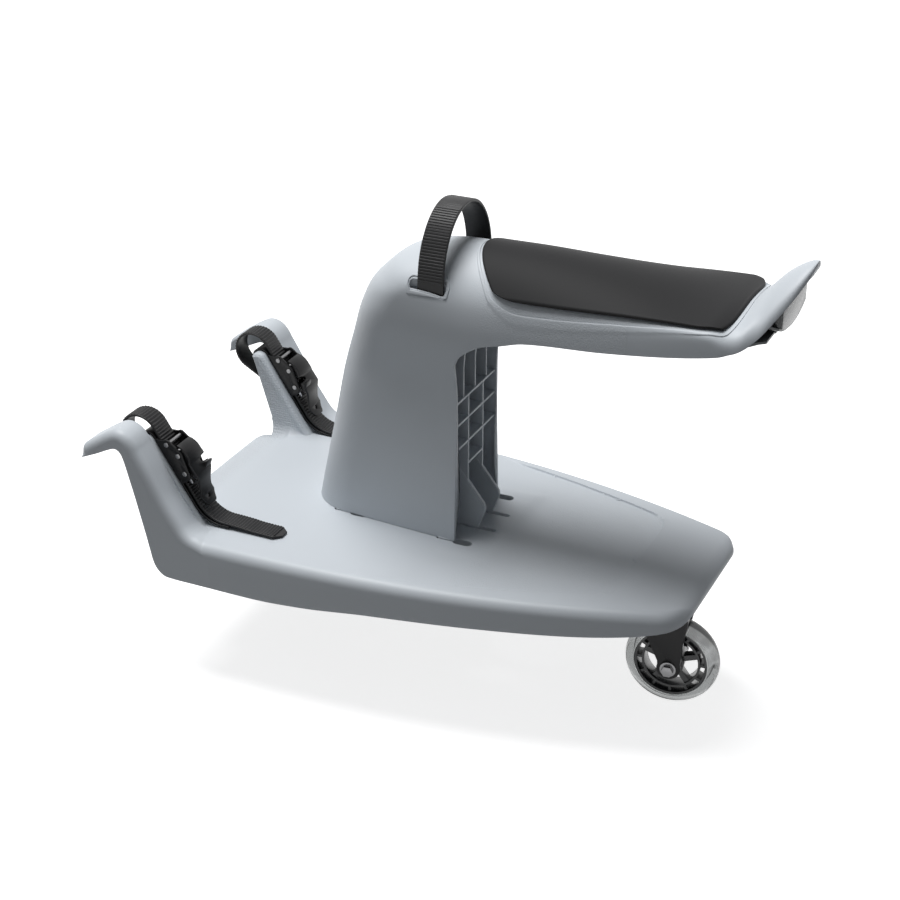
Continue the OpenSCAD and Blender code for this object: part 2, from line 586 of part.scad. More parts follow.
function seat_ring(s, t, low, at) =
    let (top = seat_mid_z(s), base = min(seat_low_z(s), top - 1),
        zs = [for (j = [0 : ring_n - 1]) mix(base, top, 1 - pow(1 - j / ring_n, 2))],
        ys = [for (z = zs) max(0.1, seat_half(s, z) - t)],
        lowest = low == 0 ? base : low)
    concat([for (j = [0 : ring_n - 1]) [at, ys[j], j == 0 ? lowest : max(zs[j] - t, lowest + 0.02 * j)]],
        [[at, 0, max(top - t, lowest + 0.02 * ring_n)]],
        [for (j = [ring_n - 1 : -1 : 0]) [at, -ys[j], j == 0 ? lowest : max(zs[j] - t, lowest + 0.02 * j)]]);
// Seat solid moved inward by t; low is the height of its flat underside, or 0 for the true one
module seat_block(t, low) {
    loft([for (s = seat_stations)
        let (at = s + t * (1 - ease((s - 240) / 90)) - t * ease((s - 690) / 25)) seat_ring(s, t, low, at)]);
}
post_rib_y = 18;
arch_rib_y = 28;
shelf_h = [77, 103, 130, 155];
rib_back = post_back - 1.5;
module seat_ribs() {
    front = post_front[0][0];
    // Shelves across the open back of the post
    for (k = [0 : 3]) translate([front, k == 0 ? -post_rib_y : -post_half - 8, shelf_h[k]])
        cube([rib_back - front, k == 0 ? 2 * post_rib_y : 2 * post_half + 16, seat_rib]);
    // Upright ribs between the shelves, with fins below that reach out behind the post
    for (y = [-post_rib_y, post_rib_y]) translate([front, y - seat_rib / 2, seat_floor])
        cube([rib_back - front, seat_rib, shelf_h[3] - seat_floor]);
    // Curved ribs up into the arch and on under the saddle
    for (y = [-arch_rib_y, 0, arch_rib_y]) side_plate(concat(
        [[front, shelf_h[3]], [rib_back - 14, shelf_h[3]], [rib_back - 10, 190], [rib_back - 3, 212],
            [rib_back + 10, 226], [rib_back + 33, 237], [460, 251], [640, 275], [672, 292]],
        [[672, 360], [front, 360]]), y, seat_rib);
    // Cross ribs under the saddle
    for (s = [430, 490, 550, 610]) translate([s, -saddle_tail_half, lookup(s, arch) + 5])
        cube([seat_rib, 2 * saddle_tail_half, 80]);
    // Wall that carries the reflector
    difference() {
        translate([refl_rib_s, -saddle_tail_half, refl_low + 2]) cube([seat_rib, 2 * saddle_tail_half, 60]);
        for (m = [-1, 1]) translate([refl_rib_s - 1, m * screw_y, refl_screw_z]) rotate([0, 90, 0])
            cylinder(d = refl_screw_d + 0.4, h = 6);
    }
}
fin_reach = 20;
fin_foot = [rib_back, -1];
fin_t = seat_rib + 0.8;
fin_low = seat_floor + gap;
module seat_fins() {
    for (y = [-post_rib_y, post_rib_y]) translate([fin_foot[0], y - seat_rib / 2, fin_foot[1]])
        cube([8, seat_rib, seat_floor + 1 - fin_foot[1]]);
    for (y = [-post_rib_y, post_rib_y]) side_plate(concat(
        [[rib_back - 61, fin_low], [rib_back + fin_reach - 8, fin_low]],
        arc([rib_back + fin_reach - 12, seat_floor + 24], 12, -20, 40, 5),
        [[rib_back - 12, 73.6], [rib_back - 59, 74.4]]), y, fin_t);
}
// Hooks under the seat's walls: a stem through the deck's skin and a wider foot below it
hook_l = seat_travel - 2;
hook_foot_t = 3;
skin_low = crown - wall;
hook_places = [[post_back - hook_l - 3, post_half - wall / 2], [235, 44.3]];
module seat_hooks() {
    low = skin_low - gap - hook_foot_t;
    for (h = hook_places, m = [-1, 1]) {
        round_slot(h[0], h[0] + hook_l, m * h[1], wall, low, seat_floor + 1);
        round_slot(h[0], h[0] + hook_l, m * h[1], 9, low, low + hook_foot_t);
    }
}
slot_fit = 0.4;
// Slot with round ends, from one station to another
module round_slot(s0, s1, y, w, low, high) {
    translate([0, y, low]) hull() {
        for (s = [s0 + w / 2, s1 - w / 2]) translate([s, 0, 0])
            cylinder(d = w, h = high - low, $fn = mesh_fn);
    }
}
module deck_slots() {
    for (h = hook_places, m = [-1, 1]) {
        // Narrow part that traps the hook, and wide part that lets it out
        round_slot(h[0] - 2, h[0] + hook_l + seat_travel + 2, m * h[1], wall + 2 * slot_fit, -12, 20);
        round_slot(h[0] + hook_l + 1, h[0] + hook_l + seat_travel + 4, m * h[1], 10.4, -12, 20);
    }
    // Slots that the fins' lower edges run over
    for (m = [-1, 1]) round_slot(fin_foot[0] - 4, rib_back + fin_reach + seat_travel - 6,
        m * post_rib_y, 6, -12, 20);
}
handle_s = 354;
slot_l = handle_w + 12;
handle_slot_s = handle_s - handle_w / 2 - 9;
module handle_slots() {
    for (m = [-1, 1]) round_slot(handle_slot_s, handle_slot_s + slot_l - 1, m * handle_half, 5.2, 268, 330);
}
handle_boss_z = 262;
module handle_bosses() {
    at_handle_bosses() cylinder(d = 11, h = 5.6);
}
module at_handle_bosses() {
    for (m = [-1, 1]) translate([handle_s, m * (handle_half + handle_t / 2 + 0.1), handle_boss_z])
        rotate([-90 * m, 0, 0]) children();
}
module seat_shell() {
    $fn = mesh_fn;
    color(grey) difference() {
        union() {
            difference() {
                seat_block(0, 0);
                seat_block(wall, -20);
            }
            intersection() {
                seat_block(wall / 2, 0);
                seat_ribs();
            }
            seat_fins();
            seat_hooks();
            intersection() {
                seat_block(wall / 2, 0);
                handle_bosses();
            }
        }
        handle_slots();
        at_handle_bosses() translate([0, 0, -1]) cylinder(d = 3.1, h = 5.4);
        // Room for the handle's ends beside the middle rib
        for (m = [0, 1]) mirror([0, m, 0]) translate([handle_s - handle_w / 2 - 1, handle_half - 7, 250])
            cube([handle_w + 2, 7 + handle_t / 2 + 0.1, 24]);
    }
}

function pad_front(y) = 388 + 38 * pow(abs(y), 2);
function pad_back(y) = saddle_back_s - 12 * pow(abs(y), 4);
pad_margin = 6.5;
// How much of its width the pad keeps towards its two ends
function pad_corner(u) = 1 - 0.10 * pow(2 * u - 1, 14);
module seat_pad() {
    cols = 12;
    color(black) loft_sheet([for (k = [0 : 14]) concat(
        [for (j = [-cols : cols]) pad_point(k / 14, j / cols, pad_gap)],
        [for (j = [cols : -1 : -cols]) pad_point(k / 14, j / cols, pad_gap + pad_t)])]);
}
pad_gap = 0.4;
// Point of the pad at a share u along it and w across it, at a height above the saddle
function pad_point(u, w, lift) =
    let (v = w * pad_corner(u), s = mix(pad_front(v), pad_back(v), u),
        y = v * (saddle_half_at(min(s, 655)) - pad_margin))
    [s, y, seat_top_z(s, y) + lift];

handle_base = 286;
module handle_line(t) {
    rise = handle_top - handle_base - handle_t / 2;
    polygon(band(concat([[-handle_half, handle_boss_z - 8], [-handle_half, handle_base - 8]],
        [for (a = [0 : 12 : 180]) [-handle_half * cos(a), handle_base + rise * sin(a)]],
        [[handle_half, handle_base - 8], [handle_half, handle_boss_z - 8]]), t / 2, t / 2));
}
handle_pitch = 3;
module seat_handle() {
    color(black_soft) difference() {
        union() {
            translate([handle_s + handle_w / 2, 0, 0]) rotate([90, 0, -90])
                linear_extrude(handle_w) handle_line(handle_t);
            // Teeth on the outside of both legs
            for (m = [-1, 1], k = [0 : 13]) {
                z = handle_base + 2 + k * handle_pitch;
                a = asin(clamp01((z - handle_base) / (handle_top - handle_base)));
                translate([handle_s - handle_w / 2 + 2, m * handle_half * cos(a), z])
                    rotate([-m * a * 0.75, 0, 0]) translate([0, m > 0 ? 0 : -handle_t / 2 - 0.7, 0])
                        cube([handle_w - 4, handle_t / 2 + 0.7, handle_pitch * 0.55]);
            }
        }
        for (m = [-1, 1]) translate([handle_s, m * handle_half, handle_boss_z]) rotate([90, 0, 0])
            cylinder(d = 3.4, h = 12, center = true);
    }
}
module handle_screws() {
    head_y = handle_half - handle_t / 2 - 0.1;
    color(steel) for (m = [-1, 1]) translate([handle_s, m * head_y, handle_boss_z])
        rotate([-90 * m, 0, 0]) {
            translate([0, 0, -2]) cylinder(d = 6.5, h = 2);
            cylinder(d = 2.9, h = 6);
        }
}

// Reflector under the tail lip
refl_s = 698;
refl_half = 50;
refl_low = lip_h - 64;
refl_high = lip_h - 27;
refl_back = 9;
tray_s = 660;
tray_z = arch[len(arch) - 1][1] + 3;
refl_low_r = 96;
refl_high_r = 92;
module reflector_outline(grow) {
    intersection() {
        translate([0, refl_low + refl_low_r]) circle(r = refl_low_r + grow);
        translate([0, refl_high - refl_high_r]) circle(r = refl_high_r + grow);
        translate([-refl_half - grow, refl_low - 10]) square([2 * (refl_half + grow), 60]);
    }
}
module reflector_slab(s, t, grow) {
    translate([s, 0, 0]) rotate([90, 0, 90]) linear_extrude(t) reflector_outline(grow);
}
screw_y = 30;
refl_screw_d = 3;
refl_screw_z = refl_low + 21;
refl_rib_s = refl_s - refl_back - gap - seat_rib;
module reflector_housing() {
    color([0.25, 0.26, 0.27]) difference() {
        intersection() {
            seat_block(wall + gap, -20);
            union() {
                reflector_slab(refl_s - refl_back, refl_back, 2.4);
                // Tray that closes the saddle's underside ahead of the lens
                translate([tray_s, -lip_half, tray_z])
                    cube([refl_s - refl_back - tray_s + 1, 2 * lip_half, 2.6]);
                translate([refl_s - refl_back, -lip_half / 3, tray_z])
                    cube([2, lip_half / 1.5, max(2.6, refl_low + 2 - tray_z)]);
            }
        }
        reflector_slab(refl_s - refl_back + 3, refl_back, 0.3);
        for (m = [-1, 1]) translate([refl_s - refl_back - 2, m * screw_y, refl_screw_z]) rotate([0, 90, 0])
            cylinder(d = refl_screw_d + 0.1, h = 10);
    }
}
module reflector_lens() {
    color(clear_tint) difference() {
        intersection() {
            reflector_slab(refl_s - refl_back + 3.2, refl_back - 1, 0);
            lens_plan();
        }
        // Ribbed back of the lens
        for (y = [-42 : 12 : 42]) translate([refl_s - refl_back + 2, y - 3, refl_low - 4]) cube([2.6, 6, 60]);
        for (m = [-1, 1]) translate([refl_s - refl_back + 2, m * screw_y, refl_screw_z]) rotate([0, 90, 0])
            cylinder(d = 8, h = 3.4);
    }
}
// Plan that keeps the lens inside the wall of the saddle's tail
module lens_plan() {
    side = [for (s = [refl_s - refl_back : 3 : refl_s + 5])
        [s, seat_half(s + 2, refl_high - 8) - wall - 3 * gap]];
    translate([0, 0, refl_low - 5]) linear_extrude(refl_high - refl_low + 10) polygon(concat(
        [for (p = side) [p[0], -p[1]]],
        [for (i = [len(side) - 1 : -1 : 0]) side[i]]));
}
module reflector_screws() {
    color(steel) for (m = [-1, 1]) translate([refl_rib_s, m * screw_y, refl_screw_z]) rotate([0, 90, 0]) {
        translate([0, 0, -2]) cylinder(d = 6, h = 2);
        cylinder(d = refl_screw_d, h = seat_rib + gap + 2.6);
    }
}

// Deck
rib_low = 8;
boss_d = 34;
boss_low = -33;
socket_d = 18;
socket_top = -7;
module deck_ribs() {
    for (y = [-108, -68, -28, 28, 68, 108]) {
        run = [for (s = [70 : 10 : deck_l - 6]) if (abs(y) < deck_half(s) - 4) s];
        side_plate(concat(
            [for (s = run) [s, deck_top_z(s, y) - wall / 2]],
            [for (i = [len(run) - 1 : -1 : 0]) [run[i], min(deck_bottom_z(run[i]) + rib_low, -8)]]),
            y, deck_rib);
    }
    for (s = [130, 196, 290, 345, 415, 480, deck_l - 112, deck_l - 26]) {
        reach = deck_half(s) - wall / 2;
        translate([s, 0, 0]) rotate([90, 0, 90]) linear_extrude(deck_rib, center = true) polygon(concat(
            [for (k = [-10 : 10]) let (y = k / 10 * reach)
                [y, deck_top_z(s, y * 0.985) - wall / 2 - (abs(k) > 9 ? 4 : 0)]],
            [[reach, deck_bottom_z(s) + rib_low], [-reach, deck_bottom_z(s) + rib_low]]));
    }
}
well_s0 = 300;
well_s1 = deck_l - 78;
function well_half(s) = deck_half(s) - 10 - 22 * (s - well_s0) / (well_s1 - well_s0);
module foot_well() {
    difference() {
        translate([0, 0, well_floor]) linear_extrude(20) polygon(concat(
            [for (s = [well_s0 : 33 : well_s1 - 20]) [s, well_half(s)]],
            arc([well_s1 - 22, deck_half(well_s1) - 62], 22, 60, 0, 4),
            arc([well_s1 - 22, 62 - deck_half(well_s1)], 22, 0, -60, 4),
            [for (s = [well_s1 - 33 : -33 : well_s0]) [s, -well_half(s)]]));
        translate([0, -crown_flat, 0]) cube([post_back + seat_travel + 22, 2 * crown_flat, 40]);
    }
}
mesh_fn = 24;
// Diameter whose many-sided hole lets a round one of diameter d in
function hole_for(d) = d / cos(180 / mesh_fn) + 0.04;
module deck() {
    $fn = mesh_fn;
    color(grey) difference() {
        union() {
            difference() {
                union() {
                    deck_block();
                    for (m = [0, 1]) mirror([0, m, 0]) arm_block();
                }
                deck_hollow();
                for (m = [0, 1]) mirror([0, m, 0]) arm_hollow();
            }
            deck_ribs();
            translate([swivel_s, 0, boss_low])
                cylinder(d = boss_d, h = deck_top_z(swivel_s, 0) - wall / 2 - boss_low);
            for (m = [-1, 1]) screw_bosses(m);
        }
        foot_well();
        deck_slots();
        translate([swivel_s, 0, boss_low - 1])
            cylinder(d = hole_for(socket_d), h = socket_top - boss_low + 1);
        translate([swivel_s, 0, socket_top - 0.01]) cylinder(d = socket_d - 2, h = 4);
        for (m = [-1, 1]) strap_holes(m);
    }
}
screw_boss_l = 11;
module screw_bosses(m) {
    at_arm(m) translate([buckle_screw_u, 0, -screw_boss_l]) cylinder(d = 11, h = screw_boss_l - 0.6);
    translate([foot_screw[0], m * strap_y, -screw_boss_l]) cylinder(d = 11, h = screw_boss_l + 0.3);
}
module strap_holes(m) {
    at_arm(m) translate([buckle_screw_u, 0, -screw_len]) cylinder(d = hole_for(screw_d), h = screw_len + 4);
    translate([foot_screw[0], m * strap_y, -screw_boss_l - 1])
        cylinder(d = hole_for(screw_d), h = screw_boss_l + 8);
    // Blind holes for the anchor pin
    translate([anchor_p[0], m * (arm_in + beak_in) / 2 + anchor_len / 2, anchor_p[1]]) rotate([90, 0, 0])
        cylinder(d = hole_for(buckle_pin_d), h = anchor_len);
    // Slot for the toothed strap in the arm's front face
    translate([slot_at[0], m * strap_y, slot_at[1]]) rotate([0, -atan2(slot_dir[1], slot_dir[0]), 0])
        translate([-14, -strap_w / 2 - 1, -strap_t / 2 - 1.4])
            cube([22, strap_w + 2, strap_t + 2.8 + tooth_h]);
}

// Caster
wheel_r = wheel_d / 2;
axle_z = wheel_r - deck_top;
fork_low = axle_z + wheel_r + 4;
fork_top = boss_low - 2.5 - gap - 0.5;
leg_in = tyre_w / 2 + 3;
bearing_w = 7;
bearing_d = 22;
spacer_l = tyre_w - 2 * bearing_w;
module at_caster() {
    translate([swivel_s, 0, 0]) rotate([0, 0, caster_turn]) children();
}
module at_axle() {
    at_caster() translate([trail, 0, axle_z]) rotate([90, 0, 0]) children();
}
module caster_socket() {
    color(black) translate([swivel_s, 0, 0]) difference() {
        union() {
            translate([0, 0, boss_low]) cylinder(d = socket_d, h = socket_top - boss_low);
            translate([0, 0, boss_low - 2.5]) cylinder(d = 30, h = 2.5);
        }
        translate([0, 0, boss_low - 3]) cylinder(d = stem_d + 2 * run_fit, h = 40);
    }
}
stem_top = socket_top + 2.6;
module caster_stem() {
    color(steel) translate([swivel_s, 0, 0]) difference() {
        translate([0, 0, fork_low + 3]) cylinder(d = stem_d, h = stem_top - fork_low - 3);
        translate([0, 0, socket_top + 0.4]) difference() {
            cylinder(d = stem_d + 1, h = 1.1);
            translate([0, 0, -1]) cylinder(d = stem_d - 2, h = 4);
        }
    }
}
module caster_clip() {
    color(steel) translate([swivel_s, 0, socket_top + 0.5]) difference() {
        cylinder(d = stem_d + 3, h = 0.9);
        translate([0, 0, -1]) cylinder(d = stem_d - 1.8, h = 3);
        translate([0, -1.5, -1]) cube([20, 3, 3]);
    }
}
module caster_fork() {
    color(black) at_caster() difference() {
        union() {
            for (m = [-1, 1]) side_plate(concat(
                [[-14, fork_top]], [[-12, fork_low], [6, axle_z + 34], [trail - 12, axle_z + 8]],
                arc([trail, axle_z], 12.5, 160, 380, 12),
                [[trail + 14, axle_z + 34], [trail + 18, axle_z + 58], [trail + 16, fork_top]]),
                m * (leg_in + leg_t / 2), leg_t);
            // Crown over the wheel
            side_plate([[-18, fork_top], [-14, fork_low], [trail + 17, fork_low], [trail + 16, fork_top]],
                0, 2 * leg_in + 2);
            for (m = [-1, 1]) translate([trail, m * (leg_in + 0.5), axle_z]) rotate([90 * m, 0, 0])
                cylinder(d = 14, h = leg_in + 0.5 - tyre_w / 2 - 0.2);
        }
        translate([trail, 0, axle_z]) rotate([90, 0, 0]) cylinder(d = axle_d + 0.1, h = 80, center = true);
        translate([0, 0, fork_low + 3]) cylinder(d = stem_d, h = 40);
    }
}
tyre_in = 0.77 * wheel_r;
module wheel_tyre() {
    h = tyre_w / 2;
    color(clear_tint) at_axle() rotate_extrude($fn = 96) polygon(concat(
        [[tyre_in, -h + 1.5], [tyre_in, h - 1.5], [tyre_in + 1.5, h]],
        arc([wheel_r - 9.5, 0], h, 82, 60, 2),
        [for (a = [50 : -10 : -50]) [wheel_r - h * 0.62 + h * 0.62 * cos(a), h * 0.9 * sin(a)]],
        arc([wheel_r - 9.5, 0], h, -60, -82, 2), [[tyre_in + 1.5, -h]]));
}
band_in = 0.57 * wheel_r;
barrel_d = bearing_d + 6;
module wheel_hub() {
    h = tyre_w / 2 - 1.5;
    color(hub_grey) at_axle() difference() {
        union() {
            tube(2 * tyre_in, 2 * tyre_in - 5, 2 * h);
            tube(2 * band_in + 5, 2 * band_in, 2 * h - 4);
            tube(barrel_d, bearing_d - 3, tyre_w);
            // Short webs between the two rims, which leave windows
            for (k = [0 : 11]) rotate(k * 30) translate([band_in + 1, -1.5, -h + 3])
                cube([tyre_in - band_in - 2, 3, 2 * h - 6]);
            // Five spokes
            for (k = [0 : 4]) rotate(k * 72 + 18) translate([barrel_d / 2 - 1, -3, -5])
                cube([band_in - barrel_d / 2 + 2, 6, 10]);
        }
        cylinder(d = bearing_d - 3, h = 60, center = true);
        for (m = [0, 1]) mirror([0, 0, m]) translate([0, 0, tyre_w / 2 - bearing_w])
            cylinder(d = bearing_d, h = 20);
    }
}
module tube(d_out, d_in, l) {
    difference() {
        cylinder(d = d_out, h = l, center = true);
        cylinder(d = d_in, h = l + 2, center = true);
    }
}
module wheel_bearings() {
    color(steel) at_axle() for (m = [0, 1]) mirror([0, 0, m]) translate([0, 0, tyre_w / 2 - bearing_w / 2])
        difference() {
            tube(bearing_d, axle_d, bearing_w);
            for (e = [-1, 1]) translate([0, 0, e * (bearing_w / 2)]) tube(bearing_d - 3.6, axle_d + 3.6, 0.8);
        }
}
module bearing_spacer() {
    color(steel) at_axle() tube(11, axle_d + 0.1, spacer_l - 0.2);
}
washer_t = 1.6;
leg_out = leg_in + leg_t;
bolt_d = axle_d - 2 * run_fit;
module axle_bolt() {
    color(steel) at_axle() {
        translate([0, 0, -leg_out - washer_t - 8]) cylinder(d = bolt_d, h = 2 * leg_out + 2 * washer_t + 8);
        translate([0, 0, leg_out + washer_t]) cylinder(d = 13, h = 5, $fn = 6);
    }
}
module axle_nut() {
    color(steel) at_axle() translate([0, 0, -leg_out - washer_t - 7]) difference() {
        cylinder(d = 14.5, h = 7, $fn = 6);
        translate([0, 0, -1]) cylinder(d = bolt_d, h = 9);
    }
}
module axle_washers() {
    color(steel) at_axle() for (m = [-1, 1]) translate([0, 0, m * (leg_out + washer_t / 2)])
        tube(17, axle_d + 0.2, washer_t);
}

// Moves the measuring frame so that the origin is on the floor, under the middle of the board
module place() {
    translate([-lip_s / 2, 0, deck_top]) children();
}
place() deck();
place() seat_shell();
place() seat_pad();
place() seat_handle();
place() handle_screws();
place() reflector_housing();
place() reflector_lens();
place() reflector_screws();
place() caster_socket();
place() caster_stem();
place() caster_clip();
place() caster_fork();
place() wheel_tyre();
place() wheel_hub();
place() wheel_bearings();
place() bearing_spacer();
place() axle_bolt();
place() axle_nut();
place() axle_washers();
place() buckle_strap(-1);  // buckle_strap_left
place() buckle_strap(1);  // buckle_strap_right
place() ladder_strap(-1);  // ladder_strap_left
place() ladder_strap(1);  // ladder_strap_right
place() buckle_base(-1);  // buckle_base_left
place() buckle_base(1);  // buckle_base_right
place() buckle_lever(-1);  // buckle_lever_left
place() buckle_lever(1);  // buckle_lever_right
place() drive_pawl(-1);  // drive_pawl_left
place() drive_pawl(1);  // drive_pawl_right
place() lock_pawl(-1);  // lock_pawl_left
place() lock_pawl(1);  // lock_pawl_right
place() buckle_pins(-1);  // buckle_pins_left
place() buckle_pins(1);  // buckle_pins_right
place() drive_pin(-1);  // drive_pin_left
place() drive_pin(1);  // drive_pin_right
place() pawl_spring(-1);  // pawl_spring_left
place() pawl_spring(1);  // pawl_spring_right
place() strap_screws(-1);  // strap_screws_left
place() strap_screws(1);  // strap_screws_right
place() strap_anchor(-1);  // strap_anchor_left
place() strap_anchor(1);  // strap_anchor_right
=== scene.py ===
import math
import bpy
import bmesh
import numpy as np
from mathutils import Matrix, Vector


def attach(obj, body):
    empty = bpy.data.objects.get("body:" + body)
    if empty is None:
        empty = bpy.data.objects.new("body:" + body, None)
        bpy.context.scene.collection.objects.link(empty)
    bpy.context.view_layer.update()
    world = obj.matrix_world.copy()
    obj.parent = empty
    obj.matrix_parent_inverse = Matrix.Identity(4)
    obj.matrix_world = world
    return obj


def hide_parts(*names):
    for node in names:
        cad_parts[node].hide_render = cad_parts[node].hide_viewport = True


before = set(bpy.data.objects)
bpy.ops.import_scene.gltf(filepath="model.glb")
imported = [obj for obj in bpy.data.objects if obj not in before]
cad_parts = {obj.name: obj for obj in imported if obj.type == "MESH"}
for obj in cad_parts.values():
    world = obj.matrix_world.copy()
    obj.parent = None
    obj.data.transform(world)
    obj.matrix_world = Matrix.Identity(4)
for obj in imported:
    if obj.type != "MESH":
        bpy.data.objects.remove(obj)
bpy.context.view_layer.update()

# Stations run back from the horn tips, heights run up from the deck's top edge, both in millimetres
MIDDLE, DECK_TOP = 359.5, 162.3
MM = 1000


def to_row(p):
    return ((p[0] - MIDDLE) / MM, p[1] / MM, (p[2] + DECK_TOP) / MM)


# Materials
COAT_ROUGH, BEVEL_SAMPLES = 0.2, 6


def node(tree, kind, **inputs):
    n = tree.nodes.new(kind)
    for k, v in inputs.items():
        n.inputs[k.replace("_", " ")].default_value = v
    return n


def worked(tree, how, *sources):
    """Result of a Math node; each source is a number or another node's output."""
    n = tree.nodes.new("ShaderNodeMath")
    n.operation = how
    for place, source in zip(n.inputs, sources):
        if isinstance(source, float):
            place.default_value = source
        else:
            tree.links.new(source, place)
    return n.outputs[0]


def bumped(tree, height, strength, distance, normal):
    """The normal with a height drawn over it; distance is in metres."""
    bump = node(tree, "ShaderNodeBump", Strength=strength, Distance=distance)
    tree.links.new(height, bump.inputs["Height"])
    if normal:
        tree.links.new(normal, bump.inputs["Normal"])
    return bump.outputs["Normal"]


def material(name, colour, rough, grain=None, edge=0.0, metal=0.0, coat=0.0, clear=0.0, ior=1.45,
             specular=0.5):
    """grain is the strength and scale of a fine unevenness, edge the round of the borders in millimetres."""
    mat = bpy.data.materials.new(name)
    mat.use_nodes = True
    t = mat.node_tree
    b = t.nodes["Principled BSDF"]
    for field, value in (("Base Color", (*colour, 1)), ("Roughness", rough), ("Metallic", metal),
                         ("Coat Weight", coat), ("Coat Roughness", COAT_ROUGH), ("IOR", ior),
                         ("Transmission Weight", clear), ("Specular IOR Level", specular)):
        b.inputs[field].default_value = value
    normal = None
    if edge:
        bevel = node(t, "ShaderNodeBevel", Radius=edge / MM)
        bevel.samples = BEVEL_SAMPLES
        normal = bevel.outputs["Normal"]
    if grain:
        co = t.nodes.new("ShaderNodeTexCoord")
        noise = node(t, "ShaderNodeTexNoise", Scale=grain[1], Detail=2.0)
        t.links.new(co.outputs["Object"], noise.inputs["Vector"])
        normal = bumped(t, noise.outputs["Fac"], grain[0], 0.001, normal)
    if normal:
        t.links.new(normal, b.inputs["Normal"])
    return mat


# Where the deck's grain lies, in metres: each pair runs from no grain to full grain
LIP_BACK, ARM_BACK, ARM_ABOVE = (-0.262, -0.27), (-0.228, -0.236), (0.17, 0.175)
ARM_FACE, ARM_LIMIT = (0.089, 0.093), (0.1, 0.0975)
WELL_BACK, WELL_FRONT, WELL_ABOVE = (0.2048, 0.203), (0.03, 0.06), (0.15, 0.156)
WELL_SIDE, WELL_CLOSES = (0.1475, 0.145), 0.305
PEBBLE_SCALE, PEBBLE_RANDOM, PEBBLE_SIZE, PEBBLE_BUMP = 360, 0.35, (0.62, 0.18), (0.6, 0.0007)
FINE_SCALE, FINE_BUMP = 700, (0.5, 0.0008)


def add_grain(mat):
    """Pebbles on the deck's front lip and the arms' inner faces, fine grain in its well."""
    t = mat.node_tree
    b = t.nodes["Principled BSDF"]
    co = t.nodes.new("ShaderNodeTexCoord")
    xyz = t.nodes.new("ShaderNodeSeparateXYZ")
    t.links.new(co.outputs["Object"], xyz.inputs[0])
    along, high = xyz.outputs["X"], xyz.outputs["Z"]
    across = worked(t, "ABSOLUTE", xyz.outputs["Y"])

    def band(source, span):
        n = node(t, "ShaderNodeMapRange", From_Min=span[0], From_Max=span[1])
        t.links.new(source, n.inputs["Value"])
        return n.outputs["Result"]

    def product(first, *others):
        for other in others:
            first = worked(t, "MULTIPLY", first, other)
        return first

    arm = product(band(across, ARM_FACE), band(high, ARM_ABOVE), band(along, ARM_BACK))
    pebbled = product(worked(t, "MAXIMUM", band(along, LIP_BACK), arm), band(across, ARM_LIMIT))
    cells = node(t, "ShaderNodeTexVoronoi", Scale=PEBBLE_SCALE, Randomness=PEBBLE_RANDOM)
    t.links.new(co.outputs["Object"], cells.inputs["Vector"])
    dots = product(band(cells.outputs["Distance"], PEBBLE_SIZE), pebbled)
    normal = bumped(t, dots, *PEBBLE_BUMP, b.inputs["Normal"].links[0].from_socket)
    # The well's sides close in towards the tail
    side = worked(t, "MULTIPLY_ADD", along, WELL_CLOSES, across)
    well = product(band(side, WELL_SIDE), band(along, WELL_BACK), band(along, WELL_FRONT),
                   band(high, WELL_ABOVE))
    fine = node(t, "ShaderNodeTexNoise", Scale=FINE_SCALE, Detail=1.0)
    t.links.new(co.outputs["Object"], fine.inputs["Vector"])
    normal = bumped(t, product(fine.outputs["Fac"], well), *FINE_BUMP, normal)
    t.links.new(normal, b.inputs["Normal"])


GREY = material("grey_plastic", (0.60, 0.64, 0.68), 0.46, grain=(0.02, 1500), edge=1.0)
add_grain(GREY)
PAD = material("pad_foam", (0.024, 0.024, 0.025), 0.5, grain=(0.05, 1400), edge=0.8, specular=0.085)
STRAP = material("strap_plastic", (0.016, 0.016, 0.017), 0.42, grain=(0.03, 1200), edge=0.15, specular=0.32)
BLACK = material("black_plastic", (0.010, 0.010, 0.011), 0.33, grain=(0.02, 1300), edge=0.25, specular=0.28)
AXLE = material("axle_steel", (0.24, 0.24, 0.245), 0.36, metal=1.0, edge=0.15)
HOUSING = material("housing_plastic", (0.13, 0.14, 0.145), 0.35, edge=0.3)
LENS = material("lens", (0.17, 0.18, 0.185), 0.2, clear=0.6, ior=1.49, specular=0.25)
TYRE = material("tyre_clear", (0.36, 0.37, 0.37), 0.07, clear=0.93, ior=1.47)
HUB = material("hub_plastic", (0.035, 0.037, 0.04), 0.25, coat=0.4, edge=0.3)
STEEL = material("steel", (0.42, 0.42, 0.43), 0.34, metal=1.0, edge=0.15)
NYLON = material("dark_nylon", (0.02, 0.02, 0.02), 0.5, edge=0.2)


# Curves and meshes
def clamp01(t):
    return max(0.0, min(1.0, t))


def ease(t):
    t = clamp01(t)
    return t * t * (3 - 2 * t)


def mix(a, b, t):
    return a + (b - a) * t


def curve(points):
    """Smooth monotone curve through points, as a function."""
    xs, ys = np.array(points, float).T
    h = np.diff(xs)
    d = np.diff(ys) / h
    m = np.zeros(len(xs))
    m[0], m[-1] = d[0], d[-1]
    for i in range(1, len(d)):
        if d[i - 1] * d[i] > 0:
            w1, w2 = 2 * h[i] + h[i - 1], h[i] + 2 * h[i - 1]
            m[i] = (w1 + w2) / (w1 / d[i - 1] + w2 / d[i])

    def at(x):
        x = min(max(x, xs[0]), xs[-1])
        i = min(int(np.searchsorted(xs, x, side="right")) - 1, len(h) - 1)
        t = (x - xs[i]) / h[i]
        return float((1 + 2 * t) * (1 - t) ** 2 * ys[i] + t * (1 - t) ** 2 * h[i] * m[i]
                     + t * t * (3 - 2 * t) * ys[i + 1] + t * t * (t - 1) * h[i] * m[i + 1])
    return at


